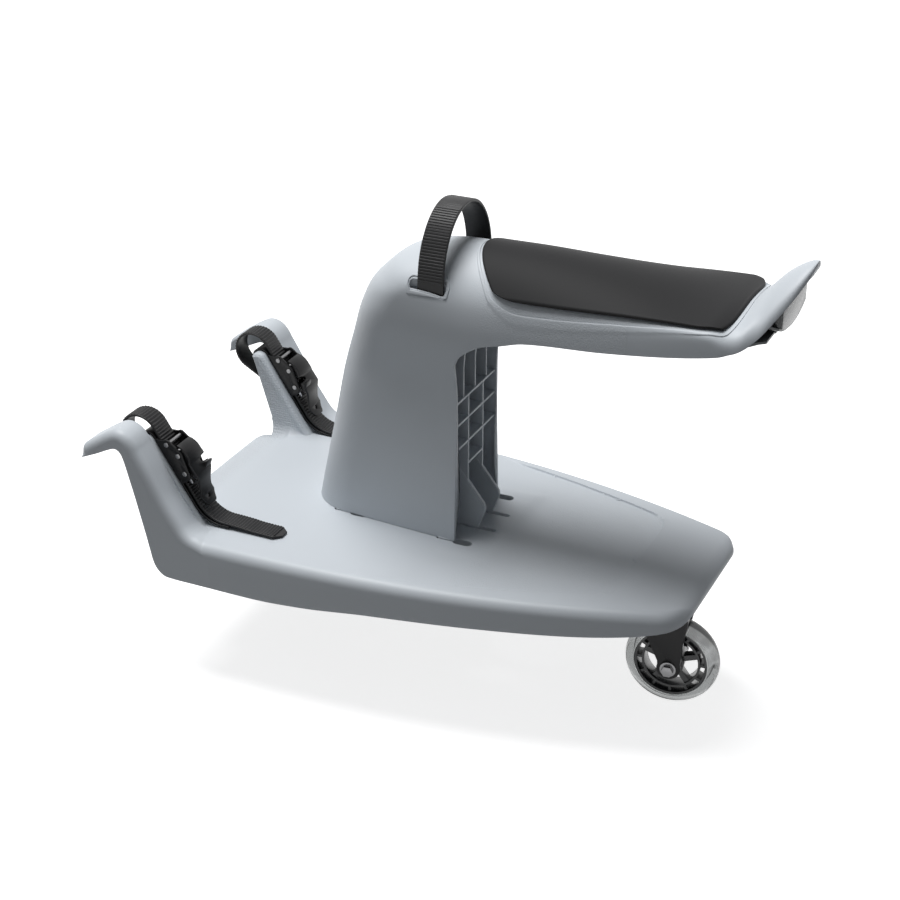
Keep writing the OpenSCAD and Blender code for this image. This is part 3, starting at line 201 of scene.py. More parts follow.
def on_circle(a):
    """Point of the unit circle at an angle in degrees."""
    return np.array([math.cos(math.radians(a)), math.sin(math.radians(a))])


def arc(c, r, a0, a1, n):
    return [np.array(c) + r * on_circle(a0 + (a1 - a0) * i / n) for i in range(n + 1)]


def unit(v):
    return v / np.linalg.norm(v)


def add_object(name, data):
    o = bpy.data.objects.new(name, data)
    bpy.context.scene.collection.objects.link(o)
    return o


def make(name, verts, faces, row=True):
    me = bpy.data.meshes.new(name)
    me.from_pydata([to_row(v) for v in verts] if row else verts, [], faces)
    me.update()
    bm = bmesh.new()
    bm.from_mesh(me)
    bmesh.ops.recalc_face_normals(bm, faces=bm.faces)
    bm.to_mesh(me)
    bm.free()
    return add_object(name, me)


def loft(name, rings):
    n, m = len(rings[0]), len(rings)
    faces = [[j * n + i, j * n + (i + 1) % n, (j + 1) * n + (i + 1) % n, (j + 1) * n + i]
             for j in range(m - 1) for i in range(n)]
    faces += [list(range(n)), list(range((m - 1) * n, m * n))]
    return make(name, [p for r in rings for p in r], faces)


def plate(name, points, y, t):
    """Plate drawn in stations and heights, with its thickness across the board."""
    return loft(name, [[(p[0], y + e * t / 2, p[1]) for p in points] for e in (-1, 1)])


def box(name, lo, hi):
    return plate(name, [(lo[0], lo[2]), (hi[0], lo[2]), (hi[0], hi[2]), (lo[0], hi[2])],
                 (lo[1] + hi[1]) / 2, hi[1] - lo[1])


def prism(name, points, z0, z1):
    """Plan outline drawn up from one height to another."""
    return loft(name, [[(p[0], p[1], z) for p in points] for z in (z0, z1)])


def slot_plan(s0, s1, y, w, n=10):
    r = w / 2
    return arc((s1 - r, y), r, -90, 90, n) + arc((s0 + r, y), r, 90, 270, n)


def round_slot(name, s0, s1, y, w, z0, z1):
    return prism(name, slot_plan(s0, s1, y, w), z0, z1)


TURN_STEPS = 48


def turned(name, profile, centre, axis):
    """Solid of revolution from (radius, distance along the axis) points, closed at both ends."""
    axis = unit(np.array(axis, float))
    side = unit(np.cross(axis, [0, 0, 1] if abs(axis[2]) < 0.9 else [0, 1, 0]))
    up = np.cross(axis, side)
    rings = []
    for r, h in profile:
        foot = np.array(centre, float) + axis * h
        turns = [2 * math.pi * k / TURN_STEPS for k in range(TURN_STEPS)]
        rings.append([foot + r * (side * math.cos(a) + up * math.sin(a)) for a in turns])
    return loft(name, rings)


def rod(name, centre, axis, d, h0, h1):
    return turned(name, [(d / 2, h0), (d / 2, h1)], centre, axis)


def applied_mesh(o):
    return bpy.data.meshes.new_from_object(o.evaluated_get(bpy.context.evaluated_depsgraph_get()))


def combine(a, others, how):
    """Boolean of a with each of the others in turn; the others are used up."""
    for o in others:
        m = a.modifiers.new("b", "BOOLEAN")
        m.operation, m.object, m.solver = how, o, "MANIFOLD"
        me = applied_mesh(a)
        a.modifiers.clear()
        old = a.data
        a.data = me
        bpy.data.meshes.remove(old)
        bpy.data.objects.remove(o)
    return a


def joined(a, others):
    return combine(a, others, "UNION")


def cut(a, others):
    return combine(a, others, "DIFFERENCE")


def both(a, others):
    return combine(a, others, "INTERSECT")


def finish(o, mat, body, nodes, angle=32):
    """Gives a piece its material and smooth shading, hangs it on its body's empty and hides the CAD pieces it
    stands for.
    """
    o.data.materials.clear()
    o.data.materials.append(mat)
    for p in o.data.polygons:
        p.material_index = 0
        p.use_smooth = True
    o.data.set_sharp_from_angle(angle=math.radians(angle))
    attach(o, body)
    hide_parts(*nodes)


# Deck: its plan, its rim and its crown
HALF, DECK_L, DECK_FRONT, WALL, GAP = 170, 642, 62, 3.5, 0.3
TAIL_W, TAIL_R, TAIL_TURN, EDGE_R, NOSE_R, CROWN = 124, 40, 19, 12, 20, 4
SIDE_START, SIDE_POWER, HORNS_END, ARM_LAP = 150, 2.4, 100.5, 2
ARM_W, BEAK_W, BEAK_R, CREST = 75, 35, 10, 113
CORNER_S = DECK_L - TAIL_R + TAIL_R * math.sin(math.radians(TAIL_TURN))
CORNER_HALF = TAIL_W / 2 + TAIL_R * math.cos(math.radians(TAIL_TURN))
SIDE_CURVE = (HALF - CORNER_HALF) / (CORNER_S - SIDE_START) ** SIDE_POWER
TAIL_RIM_R, TAIL_RIM, NOSE_RIM = 14, 0.7, 0.6
CROWN_FLAT, CROWN_TAIL_RUN, CROWN_NOSE_RUN = 72, 90, 60
deck_bottom = curve([(62, -10), (88, -44), (100, -48), (200, -49), (254, -46.5), (330, -39.5), (440, -34.7),
                     (539, -31), (588, -27), (618, -22), (636, -17), (642, -12)])


def roll(d, r):
    """Drop of a rounded edge of radius r at a distance d from its border."""
    return 0 if d >= r else r - math.sqrt(max(0, r * r - (r - max(0, d)) ** 2))


def deck_half(s):
    """Half of the deck's width; between the horns it reaches a little way into the arms."""
    if s < HORNS_END:
        return HALF - ARM_W + ARM_LAP - roll(s - DECK_FRONT, NOSE_R)
    if s < SIDE_START:
        return HALF
    if s < CORNER_S:
        return HALF - SIDE_CURVE * (s - SIDE_START) ** SIDE_POWER
    return TAIL_W / 2 + math.sqrt(max(0, TAIL_R ** 2 - (s - (DECK_L - TAIL_R)) ** 2))


def deck_edge_z(s):
    """Height of the deck's rim, which sinks a little at the tail and at the nose."""
    return -roll(DECK_L - s, TAIL_RIM_R) * TAIL_RIM - roll(s - DECK_FRONT, EDGE_R) * NOSE_RIM


def deck_crown(s, y):
    w = deck_half(s) - EDGE_R
    flat = min(CROWN_FLAT, w * 0.6)
    rise = CROWN * ease((DECK_L - s) / CROWN_TAIL_RUN) * ease((s - DECK_FRONT + 10) / CROWN_NOSE_RUN)
    return rise * (1 - clamp01((abs(y) - flat) / max(1, w - flat)) ** 2)


def deck_top_z(s, y):
    return deck_edge_z(s) + deck_crown(s, y)


# The well: a shallow hollow of the deck's top, which runs out towards the post
WELL_S0, WELL_S1, WELL_R, WELL_Z, WELL_DEPTH = 300, 564, 22, 1.2, 2.4
WELL_INSET, WELL_TAPER, WELL_SOFT = 10, 22, 0.6
WELL_OUT_S, WELL_OUT_RUN = 330, 60
POST_SIDE, POST_SIDE_RUN, POST_TAIL, POST_TAIL_RUN = 70, 14, 416, 16


def well_half(s):
    return deck_half(s) - WELL_INSET - WELL_TAPER * (s - WELL_S0) / (WELL_S1 - WELL_S0)


def well_share(s, y):
    """How far into the well a point is: 0 outside, 1 inside, with a soft border."""
    w = well_half(min(s, WELL_S1))
    dx, dy = s - (WELL_S1 - WELL_R), abs(y) - (w - WELL_R)
    d = (math.hypot(max(dx, 0), max(dy, 0)) - WELL_R) if dx > 0 else dy - WELL_R
    return ease((WELL_SOFT - d) / (2 * WELL_SOFT)) * ease((s - WELL_OUT_S) / WELL_OUT_RUN)


def top_look_z(s, y):
    """Height of the deck's top with its well, which keeps clear of the post's foot."""
    z = deck_top_z(s, y)
    clear = max(ease((abs(y) - POST_SIDE) / POST_SIDE_RUN), ease((s - POST_TAIL) / POST_TAIL_RUN))
    return z + (min(z - WELL_DEPTH, WELL_Z) - z) * well_share(s, y) * clear


# Points of a ring, closer together on the well's border, and the small round of the lower rim
LIP_STEPS, SIDE_POINTS, FLOOR_POINTS, LOW_ROUND = (1.5, 0.9, 0.5, 0.1, -0.3, -0.8, -1.5), 4, 25, 0.6


def deck_ring(s, t, bottom, at):
    """Section of the deck at station s, inset by t and placed at another station."""
    w, rim = deck_half(s) - t, deck_edge_z(s) - t
    r = min(EDGE_R - t, max(1, rim - bottom - 1))
    reach = w - r
    border = max(0.3 * reach, min(0.96 * reach, well_half(min(s, WELL_S1))))
    lip = [min(border + e, reach - 0.2 * (k + 1)) for k, e in enumerate(LIP_STEPS)]
    ys = [mix(reach, lip[0], k / SIDE_POINTS) for k in range(SIDE_POINTS)] + lip
    ys += [lip[-1] * (1 - k / FLOOR_POINTS) for k in range(1, FLOOR_POINTS)]
    half, top = [(w, bottom)], deck_top_z
    if t == 0:
        half = [(w - LOW_ROUND, bottom), (w - LOW_ROUND * 0.3, bottom + LOW_ROUND * 0.3),
                (w, bottom + LOW_ROUND)]
        top = top_look_z
    half += [(w - r * (1 - c), rim - r * (1 - e)) for c, e in map(on_circle, range(0, 90, 9))]
    half += [(y, top(s, y) - t) for y in ys]
    return ([(at, y, z) for y, z in half] + [(at, 0, top(s, 0) - t)]
            + [(at, -y, z) for y, z in reversed(half)])


# Stations of the deck's rings, closer together where its outline or its well turns
deck_s = ([62, 62.05, 62.2, 62.5, 63, 63.8, 65, 66.5, 68.5, 71, 74, 77.5] + [82 + 3 * k for k in range(7)]
          + [100.2, 100.8] + [104 + 4 * k for k in range(12)] + [152 + 4 * k for k in range(97)]
          + [540.5 + 2 * k for k in range(10)] + [560.5 + 0.6 * k for k in range(12)]
          + [568.5 + 3.7 * k for k in range(9)]
          + [DECK_L - TAIL_R + TAIL_R * math.sin(math.radians(a)) for a in range(3, 91, 3)])


# Horns: the arm's line runs down from its end to the deck; u is measured along it, n out from it
FLOOR_Z = -48.5
ARM_TOP, ARM_FOOT = np.array([64.0, 97.0]), np.array([123.0, 4.0])
ARM_DIR = unit(ARM_FOOT - ARM_TOP)
ARM_OUT = np.array([-ARM_DIR[1], ARM_DIR[0]])
ARM_LEAN = math.degrees(math.atan2(-ARM_DIR[1], ARM_DIR[0]))


def on_arm(u, n):
    return ARM_TOP + u * ARM_DIR + n * ARM_OUT


ARM_END_R, ARM_END_TURN = 9, 118
ARM_END_C = on_arm(7, -ARM_END_R)
ARM_IN, BEAK_IN = HALF - ARM_W, HALF - BEAK_W
ARM_MIDDLE = (ARM_IN + BEAK_IN) / 2
beak_low = [[0.2, 71.6], [11, 76.2], [22, 81], [32, 86.2], [41, 90.4], [45, 91.2], [48.5, 89.8],
            [51.5, 86], [54.5, 77], [64.5, 38.4], [74.7, -3.6], [81.6, -31], [84, -37], [87.5, -42],
            [91.5, -45.6], [96, -47.8], [108, FLOOR_Z]]
arm_back = [[SIDE_START, FLOOR_Z], [SIDE_START, -6], [141, -1]]
beak_outline = beak_low + arm_back + [
    [134, 1.8], [129, 3.4], [124, 6], [119, 10], [115, 15], [98, 40], [80, 74], [69, 92], [66.5, 97],
    [63.5, CREST - 11.5], [60, CREST - 7.5], [56, CREST - 4.6], [52, CREST - 2.6],
    [48, CREST - 1.6], [44, CREST - 1.4], [40, CREST - 2.2], [31, CREST - 6.6], [21, CREST - 13],
    [12, CREST - 18.8], [5, CREST - 23.6], [2, CREST - 26.4], [0.6, CREST - 30], [0.2, CREST - 34]]
inner_outline = ([[55, 84], [92, -32], [97, -43], [102, FLOOR_Z + 0.6], [120, FLOOR_Z]] + arm_back
                 + [[131, 0], list(ARM_FOOT + [3, -3]), list(ARM_FOOT - 6 * ARM_DIR)]
                 + arc(ARM_END_C, ARM_END_R, 90 - ARM_LEAN, 90 - ARM_LEAN + ARM_END_TURN, 10))
INSET_FROM, INSET_RUN, CRISP_SHARE = -36, 46, 0.15
SHARP_TURN, CRISP_CUT, SOFT_CUT, SOFT_STEPS = 40, 1.2, 9, 6


def inset_top(p, d, crisp=0):
    """Outline moved inward by d, less below the deck and at its first crisp points."""
    n, out = len(p), []
    for i in range(n):
        q = np.array(p[i], float)
        a, b = unit(q - p[(i + n - 1) % n]), unit(np.array(p[(i + 1) % n]) - q)
        m = a + b
        share = (CRISP_SHARE if i < crisp else 1) * ease((q[1] - INSET_FROM) / INSET_RUN)
        out.append(q - d * share * np.array([m[1], -m[0]]) / max(0.35, m @ m / 2))
    return out


def softened(base, p):
    """Outline p with every corner drawn as a short curve; base decides which corners stay tight."""
    n, out = len(p), []
    for i in range(n):
        b0, b1, b2 = (np.array(base[(i + k) % n], float) for k in (-1, 0, 1))
        turn = math.degrees(math.acos(max(-1, min(1, float(unit(b1 - b0) @ unit(b2 - b1))))))
        p0, p1, p2 = (np.array(p[(i + k) % n], float) for k in (-1, 0, 1))
        l0, l1 = np.linalg.norm(p1 - p0), np.linalg.norm(p2 - p1)
        d = min(0.49 * l0, 0.49 * l1, CRISP_CUT if turn > SHARP_TURN else SOFT_CUT)
        a, c = p1 + (p0 - p1) / l0 * d, p1 + (p2 - p1) / l1 * d
        for k in range(SOFT_STEPS + 1):
            t = k / SOFT_STEPS
            out.append((1 - t) ** 2 * a + 2 * t * (1 - t) * p1 + t * t * c)
    return out


# Rings of a horn's two parts, as (distance across the board, inset of the outline)
beak_rings = [(BEAK_IN - 1, 3.0), (BEAK_IN, 1.8), (BEAK_IN + 1, 1.0), (BEAK_IN + 2.4, 0.35), (BEAK_IN + 4, 0)]
beak_rings += [(HALF - BEAK_R + BEAK_R * s, BEAK_R * (1 - c)) for c, s in map(on_circle, range(0, 85, 6))]
beak_rings += [(HALF, BEAK_R * 0.9)]
inner_rings = [(ARM_IN, 4.0), (ARM_IN + 0.5, 2.8), (ARM_IN + 1.2, 1.9), (ARM_IN + 2.2, 1.1),
               (ARM_IN + 3.6, 0.45), (ARM_IN + 5, 0.12), (ARM_IN + 6, 0), (BEAK_IN + 2, 0)]


def horn_part(m, outline, rings, crisp):
    return loft("horn", [[(p[0], m * y, p[1]) for p in softened(outline, inset_top(outline, d, crisp))]
                         for y, d in rings])


def horn(m):
    beak = horn_part(m, beak_outline, beak_rings, len(beak_low))
    return joined(beak, [horn_part(m, inner_outline, inner_rings, 0)])


# Hollows of the horns, open below
OPEN_Z, CLOSED_TO = -90, 97
hollow_foot = [[96.5, -33], [101, -38], [107, -42], [108, OPEN_Z], [146, OPEN_Z], [146, -5.5]]
foot_room = hollow_foot[:4] + [[152, OPEN_Z], [152, -16], [91, -16]]
beak_hollow = [[13, 82], [22, 85.5], [40, 95], [50, 95], [58, 82], [68.5, 39], [79, -3.6], [86.5, -31],
               [92, -40], [99, -44], [108, -44.5], [108, OPEN_Z], [146, OPEN_Z], [146, -5.5], [134, -3.5],
               [122, 1], [111, 12], [94, 37], [76, 71], [65, 89], [59.5, CREST - 16], [53, CREST - 9],
               [46, CREST - 6], [40, CREST - 6.8], [30, CREST - 11.8], [14, CREST - 23]]
inner_hollow = ([[61, 82]] + hollow_foot
                + [[131, -5], on_arm(107, -WALL - 1), on_arm(24, -WALL - 0.5), on_arm(16, -WALL - 3)])

# The toothed strap's line: out of the slot, round the loop, down the arm and along the deck
STRAP_Y, STRAP_W, STRAP_T, TOOTH_H, TOOTH_PITCH = 118, 24, 2.2, 1, 3.4
BASE_T, BUCKLE_T, SEATED, ANCHOR_IN, PIN_D = 2.5, 2, 0.2, 14, 4
STRAP_MID = BASE_T + BUCKLE_T + GAP + STRAP_T / 2
LOOP_R = 20.4 + STRAP_T / 2
LOOP_C = on_arm(-4, STRAP_MID - LOOP_R)
SLOT_AT = np.array([66.0, 57.0])
slot_v = LOOP_C - SLOT_AT
slot_turn = math.degrees(math.acos(LOOP_R / np.linalg.norm(slot_v)))
LEAVE_A = math.degrees(math.atan2(-slot_v[1], -slot_v[0])) - slot_turn
SLOT_DIR = unit(SLOT_AT - (LOOP_C + LOOP_R * on_circle(LEAVE_A)))
ANCHOR_P = SLOT_AT + ANCHOR_IN * SLOT_DIR
REST_Z = deck_top_z(SIDE_START, STRAP_Y - STRAP_W / 2 - 1) + SEATED
TAIL_Z = REST_Z + BASE_T + GAP + STRAP_T / 2
TAIL_LOW_Z = REST_Z + STRAP_T / 2
BEND_R, BASE_BEND_R = 38, 40
TAIL_END, TAIL_STEP, TIP_L = 213, 1.5, 8


def bend_centre(above, radius, z):
    """Centre of the bend from the arm's line, that far above it, into the level z."""
    u = (on_arm(0, above + radius)[1] - z - radius) / -ARM_DIR[1]
    return on_arm(u, above + radius)


BEND_C = bend_centre(STRAP_MID, BEND_R, TAIL_Z)
BASE_BEND_C = bend_centre(SEATED, BASE_BEND_R, REST_Z)


def strap_tail():
    x0, x1 = BEND_C[0], TAIL_END
    line = curve([(x0 - 4, TAIL_Z), (x0, TAIL_Z), (x0 + 18, TAIL_Z - 0.6),
                  (x0 + 34, mix(TAIL_Z, TAIL_LOW_Z, 0.7)), (x1, TAIL_LOW_Z)])
    steps = np.arange(x0 + TAIL_STEP, x1 + 0.01, TAIL_STEP)
    return [np.array([x, line(x)]) for x in steps] + [np.array([x1, TAIL_LOW_Z])]


ladder_path = ([ANCHOR_P - 2 * SLOT_DIR, SLOT_AT] + arc(LOOP_C, LOOP_R, LEAVE_A, 90 - ARM_LEAN - 360, 72)
               + [on_arm(u, STRAP_MID) for u in (12, 26, 40, 56)]
               + arc(BEND_C, BEND_R, 270 - ARM_LEAN, 270, 28) + strap_tail())
base_path = ([np.array([54.7, 83.9])]
             + arc(ARM_END_C, ARM_END_R + SEATED, 90 - ARM_LEAN + ARM_END_TURN, 90 - ARM_LEAN, 24)
             + arc(BASE_BEND_C, BASE_BEND_R, 270 - ARM_LEAN, 270, 24) + [np.array([153.0, REST_Z])])


def resampled(path, step):
    p = np.array(path, float)
    d = np.concatenate([[0], np.cumsum(np.linalg.norm(np.diff(p, axis=0), axis=1))])
    n = max(2, int(round(d[-1] / step)))
    at = np.linspace(0, d[-1], n + 1)
    return np.stack([np.interp(at, d, p[:, k]) for k in range(p.shape[1])], axis=1), at


def line_normals(p):
    a = np.gradient(p, axis=0)
    a /= np.linalg.norm(a, axis=1)[:, None]
    return np.stack([-a[:, 1], a[:, 0]], axis=1)


ROUND = [tuple(on_circle(a)) for a in (0, 22.5, 45, 67.5, 90)]
TOOTH_IN, TOOTH_LEAN = 0.7, 0.25


def band_section(w, low, high, r, tooth=None):
    """Section with rounded corners from -low to high; tooth is a tooth's height and its foot's share."""
    half = [(w - r + r * c, -low + r - r * s) for c, s in reversed(ROUND)]
    half += [(w - r + r * c, high - r + r * s) for c, s in ROUND]
    if tooth:
        h, foot = tooth
        half += [(w - TOOTH_IN, high + h * foot), (w - TOOTH_IN - TOOTH_LEAN, high + h)]
    return half + [(-x, n) for x, n in reversed(half)]


def strap_band(name, path, y, low, high, half_at, tooth_at=None, step=0.28, r=0.45):
    """Band along a line: thickness from -low to high; tooth_at(d) adds height over its middle."""
    p, at = resampled(path, step)
    rings = []
    for q, m, d in zip(p, line_normals(p), at):
        section = band_section(half_at(q), low, high, r, (tooth_at(d), 0.15) if tooth_at else None)
        rings.append([(q[0] + m[0] * n, y + x, q[1] + m[1] * n) for x, n in section])
    return loft(name, rings)


# Seat: post and saddle
POST_BACK, POST_HALF = 379, 56.5
SADDLE_FRONT, SADDLE_FRONT_HALF, SADDLE_BACK, SADDLE_TAIL_HALF = 340, 65, 660, 80
LIP_S, LIP_H, LIP_HALF, LIP_RUN, LIP_DROP = 719, 350, 76, 43, 67
SEAT_FRONT, SEAT_FLOOR = 197, CROWN + GAP
post_front = [[SEAT_FRONT, 0], [207, 48], [219, 104], [232, 165], [245, 207], [257, 243], [269, 267],
              [281, 280], [298, 295], [313, 303], [337, 310], [359, 313.5], [391, 315]]
seat_mid_z = curve(post_front + [
    [430, 315], [500, 312.5], [560, 308.5], [640, 301], [655, 301], [664, 305],
    [672, 313], [680, 322], [690, 333], [702, 342.5], [712, 348], [LIP_S, LIP_H]])
edge_drop = curve([
    [SEAT_FRONT, 1], [281, 8], [300, 14], [337, 27], [391, 41], [430, 38], [500, 30], [560, 20], [640, 7],
    [655, 11], [664, 16], [672, 23], [684, 33], [692, 31], [700, 26], [708, 18.5], [714, 11], [LIP_S, 3]])
slope_s = np.linspace(SEAT_FRONT, 391, 400)
slope_z = [seat_mid_z(s) for s in slope_s]
arch_z = curve([[379, 203], [384, 213], [395, 223], [412, 233], [430, 238], [457, 246], [538, 254],
                [597, 262], [635, 269], [659, 275], [669, 279], [676, 280]])
FRONT_RUN, POST_NARROWS, POST_NARROW_H, POST_LEAN = 50, 4.8, 130, 0.0013
FLARE_Z, FLARE_H, SQUARE = 165, 90, 7
CORNER_AT, CORNER_RUN, CORNER_SOFT = 648, 20, 11


def front_s(z):
    return float(np.interp(z, slope_z, slope_s))


def rounded_corner(f):
    """f with its bend at the saddle's tail corner drawn as a soft curve."""
    def soft(s):
        r = CORNER_SOFT * ease((s - CORNER_AT) / CORNER_RUN) * ease((LIP_S - 4 - s) / CORNER_RUN)
        return sum(f(s + r * k / 5) for k in range(-5, 6)) / 11 if r else f(s)
    return soft


@rounded_corner
def saddle_half(s):
    if s >= LIP_S - LIP_RUN:
        return LIP_HALF * math.sqrt(max(0.0004, (LIP_S - s) / LIP_RUN))
    return (mix(SADDLE_FRONT_HALF, SADDLE_TAIL_HALF, (s - SADDLE_FRONT) / (SADDLE_BACK - SADDLE_FRONT))
            - (SADDLE_TAIL_HALF - LIP_HALF) * 1.15 * ease((s - SADDLE_BACK + 8) / 24))


def seat_half(s, z):
    """Half-width of post and saddle, a squarish section that flares between them."""
    d = clamp01((s - front_s(z)) / FRONT_RUN)
    g = math.sqrt(max(0, 1 - (1 - d) ** 2))
    post = (POST_HALF - POST_NARROWS * ease(z / POST_NARROW_H)) * (
        1 - POST_LEAN * (POST_BACK - min(s, POST_BACK)))
    a = max(0.2, mix(post, saddle_half(s), ease((z - FLARE_Z) / FLARE_H)) * g)
    b = max(0.2, saddle_half(s) * math.sqrt(max(0, (seat_mid_z(s) - z) / edge_drop(s))))
    return (a ** -SQUARE + b ** -SQUARE) ** (-1 / SQUARE)


def seat_top_z(s, y):
    return seat_mid_z(s) - edge_drop(s) * (abs(y) / saddle_half(s)) ** 2


@rounded_corner
def seat_low_z(s):
    if s <= POST_BACK:
        return SEAT_FLOOR
    if s < LIP_S - LIP_RUN:
        return arch_z(s)
    return LIP_H - LIP_DROP * math.sqrt((LIP_S - s) / LIP_RUN) ** 1.6 - 4


def seat_ring(s, t, low, at, n):
    """Ring of n points a side over half as many on the post's wall or under the saddle."""
    top, under = seat_mid_z(s), n // 2
    base = min(seat_low_z(s), top - 1)
    split = base if s > POST_BACK else min(arch_z(POST_BACK), base + 0.64 * (top - base))
    lowest = base if low == 0 else low

    def half_width(z):
        return max(0.1, seat_half(s, z) - t)

    def height(z, k):
        return max(z - t, lowest + 0.02 * k)

    if s > POST_BACK:
        half = [(half_width(base) * (0.04 + 0.96 * k / under), lowest) for k in range(under)]
        half.append((half_width(split), lowest))
    else:
        half = [(half_width(base), lowest)]
        for k in range(1, under):
            z = mix(base, split, k / under)
            half.append((half_width(z), height(z, k)))
        half.append((half_width(split), height(split, under)))
    for j in range(1, n):
        z = mix(split, top, 1 - (1 - j / n) ** 2)
        half.append((half_width(z), height(z, under + j)))
    return ([(at, y, z) for y, z in half] + [(at, 0, height(top, n + under))]
            + [(at, -y, z) for y, z in reversed(half)])


def seat_stations(step):
    """Stations of the seat's rings, closer on the post's slope, at its back and round the lip."""
    s = 198.2
    out = [s]
    while s < POST_BACK - 0.5:
        ds = step
        while abs(seat_mid_z(s + ds) - seat_mid_z(s)) > step * 1.2 and ds > 0.4:
            ds *= 0.7
        s += ds
        out.append(min(s, POST_BACK))
    behind = POST_BACK + 0.3
    out = [v for v in out if v < POST_BACK - 1.5] + [POST_BACK] + [behind + 1.2 * k for k in range(12)]
    s = out[-1]
    while s < SADDLE_BACK:
        s += step
        out.append(s)
    out += [664 + 2 * k for k in range(6)]
    out += [LIP_S - LIP_RUN * (1 - k / 26) ** 2 for k in range(26)] + [LIP_S - 0.05]
    return sorted(set(round(v, 4) for v in out))


def seat_block(name, t, low, step=3.2, n=44):
    """The seat's outer form, inset by t and drawn down to low."""
    rings = []
    for s in seat_stations(step):
        # The inset moves the post's front rings back and the lip's rings forward
        at = s + t * (1 - ease((s - 240) / 90)) - t * ease((s - 690) / 25)
        rings.append(seat_ring(s, t, low, at, n))
    return loft(name, rings)


# Building the deck, with its horns
SIDES, UPWARD, ACROSS = (1, -1), (0, 0, 1), (0, 1, 0)
SWIVEL_S, SWIVEL_R, SWIVEL_FOOT = 573, 17, -33
ARM_SCREW_U, DECK_SCREW_S, SCREW_HOLE = 27, 143, 4.68
HOOK_PLACES = ((360, 54.75), (235, 44.3))
SLIDE, HEAD_W, SPINE_Y = 18, 9, 18
FILLET_R, FILLET_S, FILLET_RUN = 17, 96, 28
CUT_LOW, CUT_HIGH, SWIVEL_BORE, CLIP_BORE = -12, 20, 18.1, 16
LONG_RIBS = (-108, -68, -28, 28, 68, 108)
CROSS_RIBS = (130, 196, 290, 345, 415, 480, 530, 616)
DECK_RIB_T, RIB_H, RIB_DOWN = 2.6, 8, 0.6
# The cross ribs' tops keep below the rounded edge at their last points
RIB_ROLL = {19: 1.6, 20: 6.2}


def arm_fillet(m):
    """Hollow curve between the deck's top and an arm's inner face."""
    rings = []
    for s in np.arange(60, 131, 3.0):
        r = FILLET_R * (1 - ease((s - FILLET_S) / FILLET_RUN)) + 0.4
        z0 = deck_top_z(max(s, 76), 78)
        ring = [(s, m * (ARM_IN + 1.5), z0 - 4), (s, m * (ARM_IN + 1.5), z0 + r)]
        ring += [(s, m * (ARM_IN + 0.4 - r + r * e), z0 - 0.4 + r * (1 - c))
                 for c, e in map(on_circle, range(90, -1, -9))]
        ring.append((s, m * (ARM_IN - r), z0 - 4))
        rings.append(ring)
    side = softened(inner_outline, inset_top(inner_outline, 0.6))
    return both(loft("fillet", rings), [plate("side", side, m * 87, 26)])


def screw_rods(m, z, on_horn, on_deck):
    """Rods at the two screws of one side, each as (diameter, from, to) along its screw."""
    at = on_arm(ARM_SCREW_U, 0)
    return [rod("screw", (at[0], m * STRAP_Y, at[1]), (ARM_OUT[0], 0, ARM_OUT[1]), *on_horn),
            rod("screw", (DECK_SCREW_S, m * STRAP_Y, z), UPWARD, *on_deck)]


def deck_hollow():
    """The deck's form inset by its wall and open below, and the hollows of the horns."""
    rings = []
    for s in deck_s:
        at = mix(DECK_FRONT + WALL, DECK_L - WALL, (s - DECK_FRONT) / (DECK_L - DECK_FRONT))
        rings.append(deck_ring(s, WALL, deck_bottom(at) + WALL * 1.4 if at < CLOSED_TO else OPEN_Z, at))
    tools = [loft("hollow", rings)]
    for m in SIDES:
        tools.append(plate("h", beak_hollow, m * (BEAK_IN + HALF) / 2, BEAK_W - 2 * WALL - 4.4))
        tools.append(plate("h", inner_hollow, m * ARM_MIDDLE, ARM_W - BEAK_W - 2 * WALL))
        tools.append(plate("h", foot_room, m * (ARM_IN + HALF) / 2, ARM_W - 2 * WALL - 1))
    return tools


def deck_ribs():
    ribs = []
    for y in LONG_RIBS:
        run = [s for s in range(70, 637, 10) if abs(y) < deck_half(s) - EDGE_R]
        line = [(s, top_look_z(s, y) - RIB_DOWN) for s in run]
        line += [(s, min(deck_bottom(s) + RIB_H, -8)) for s in reversed(run)]
        ribs.append(plate("rib", line, y, DECK_RIB_T))
    for s in CROSS_RIBS:
        reach = deck_half(s) - WALL / 2
        line = []
        for k in range(-20, 21):
            y = k / 20 * reach
            line.append((y, top_look_z(s, y * 0.985) - RIB_DOWN - RIB_ROLL.get(abs(k), 0)))
        line += [(reach, deck_bottom(s) + RIB_H), (-reach, deck_bottom(s) + RIB_H)]
        ribs.append(loft("rib", [[(s + e * DECK_RIB_T / 2, y, z) for y, z in line] for e in (-1, 1)]))
    ribs.append(rod("boss", (SWIVEL_S, 0, SWIVEL_FOOT), UPWARD, 2 * SWIVEL_R, 0, 34.7))
    for m in SIDES:
        ribs += screw_rods(m, 0, (11, -11, -0.6), (11, -11, 0.3))
    return ribs


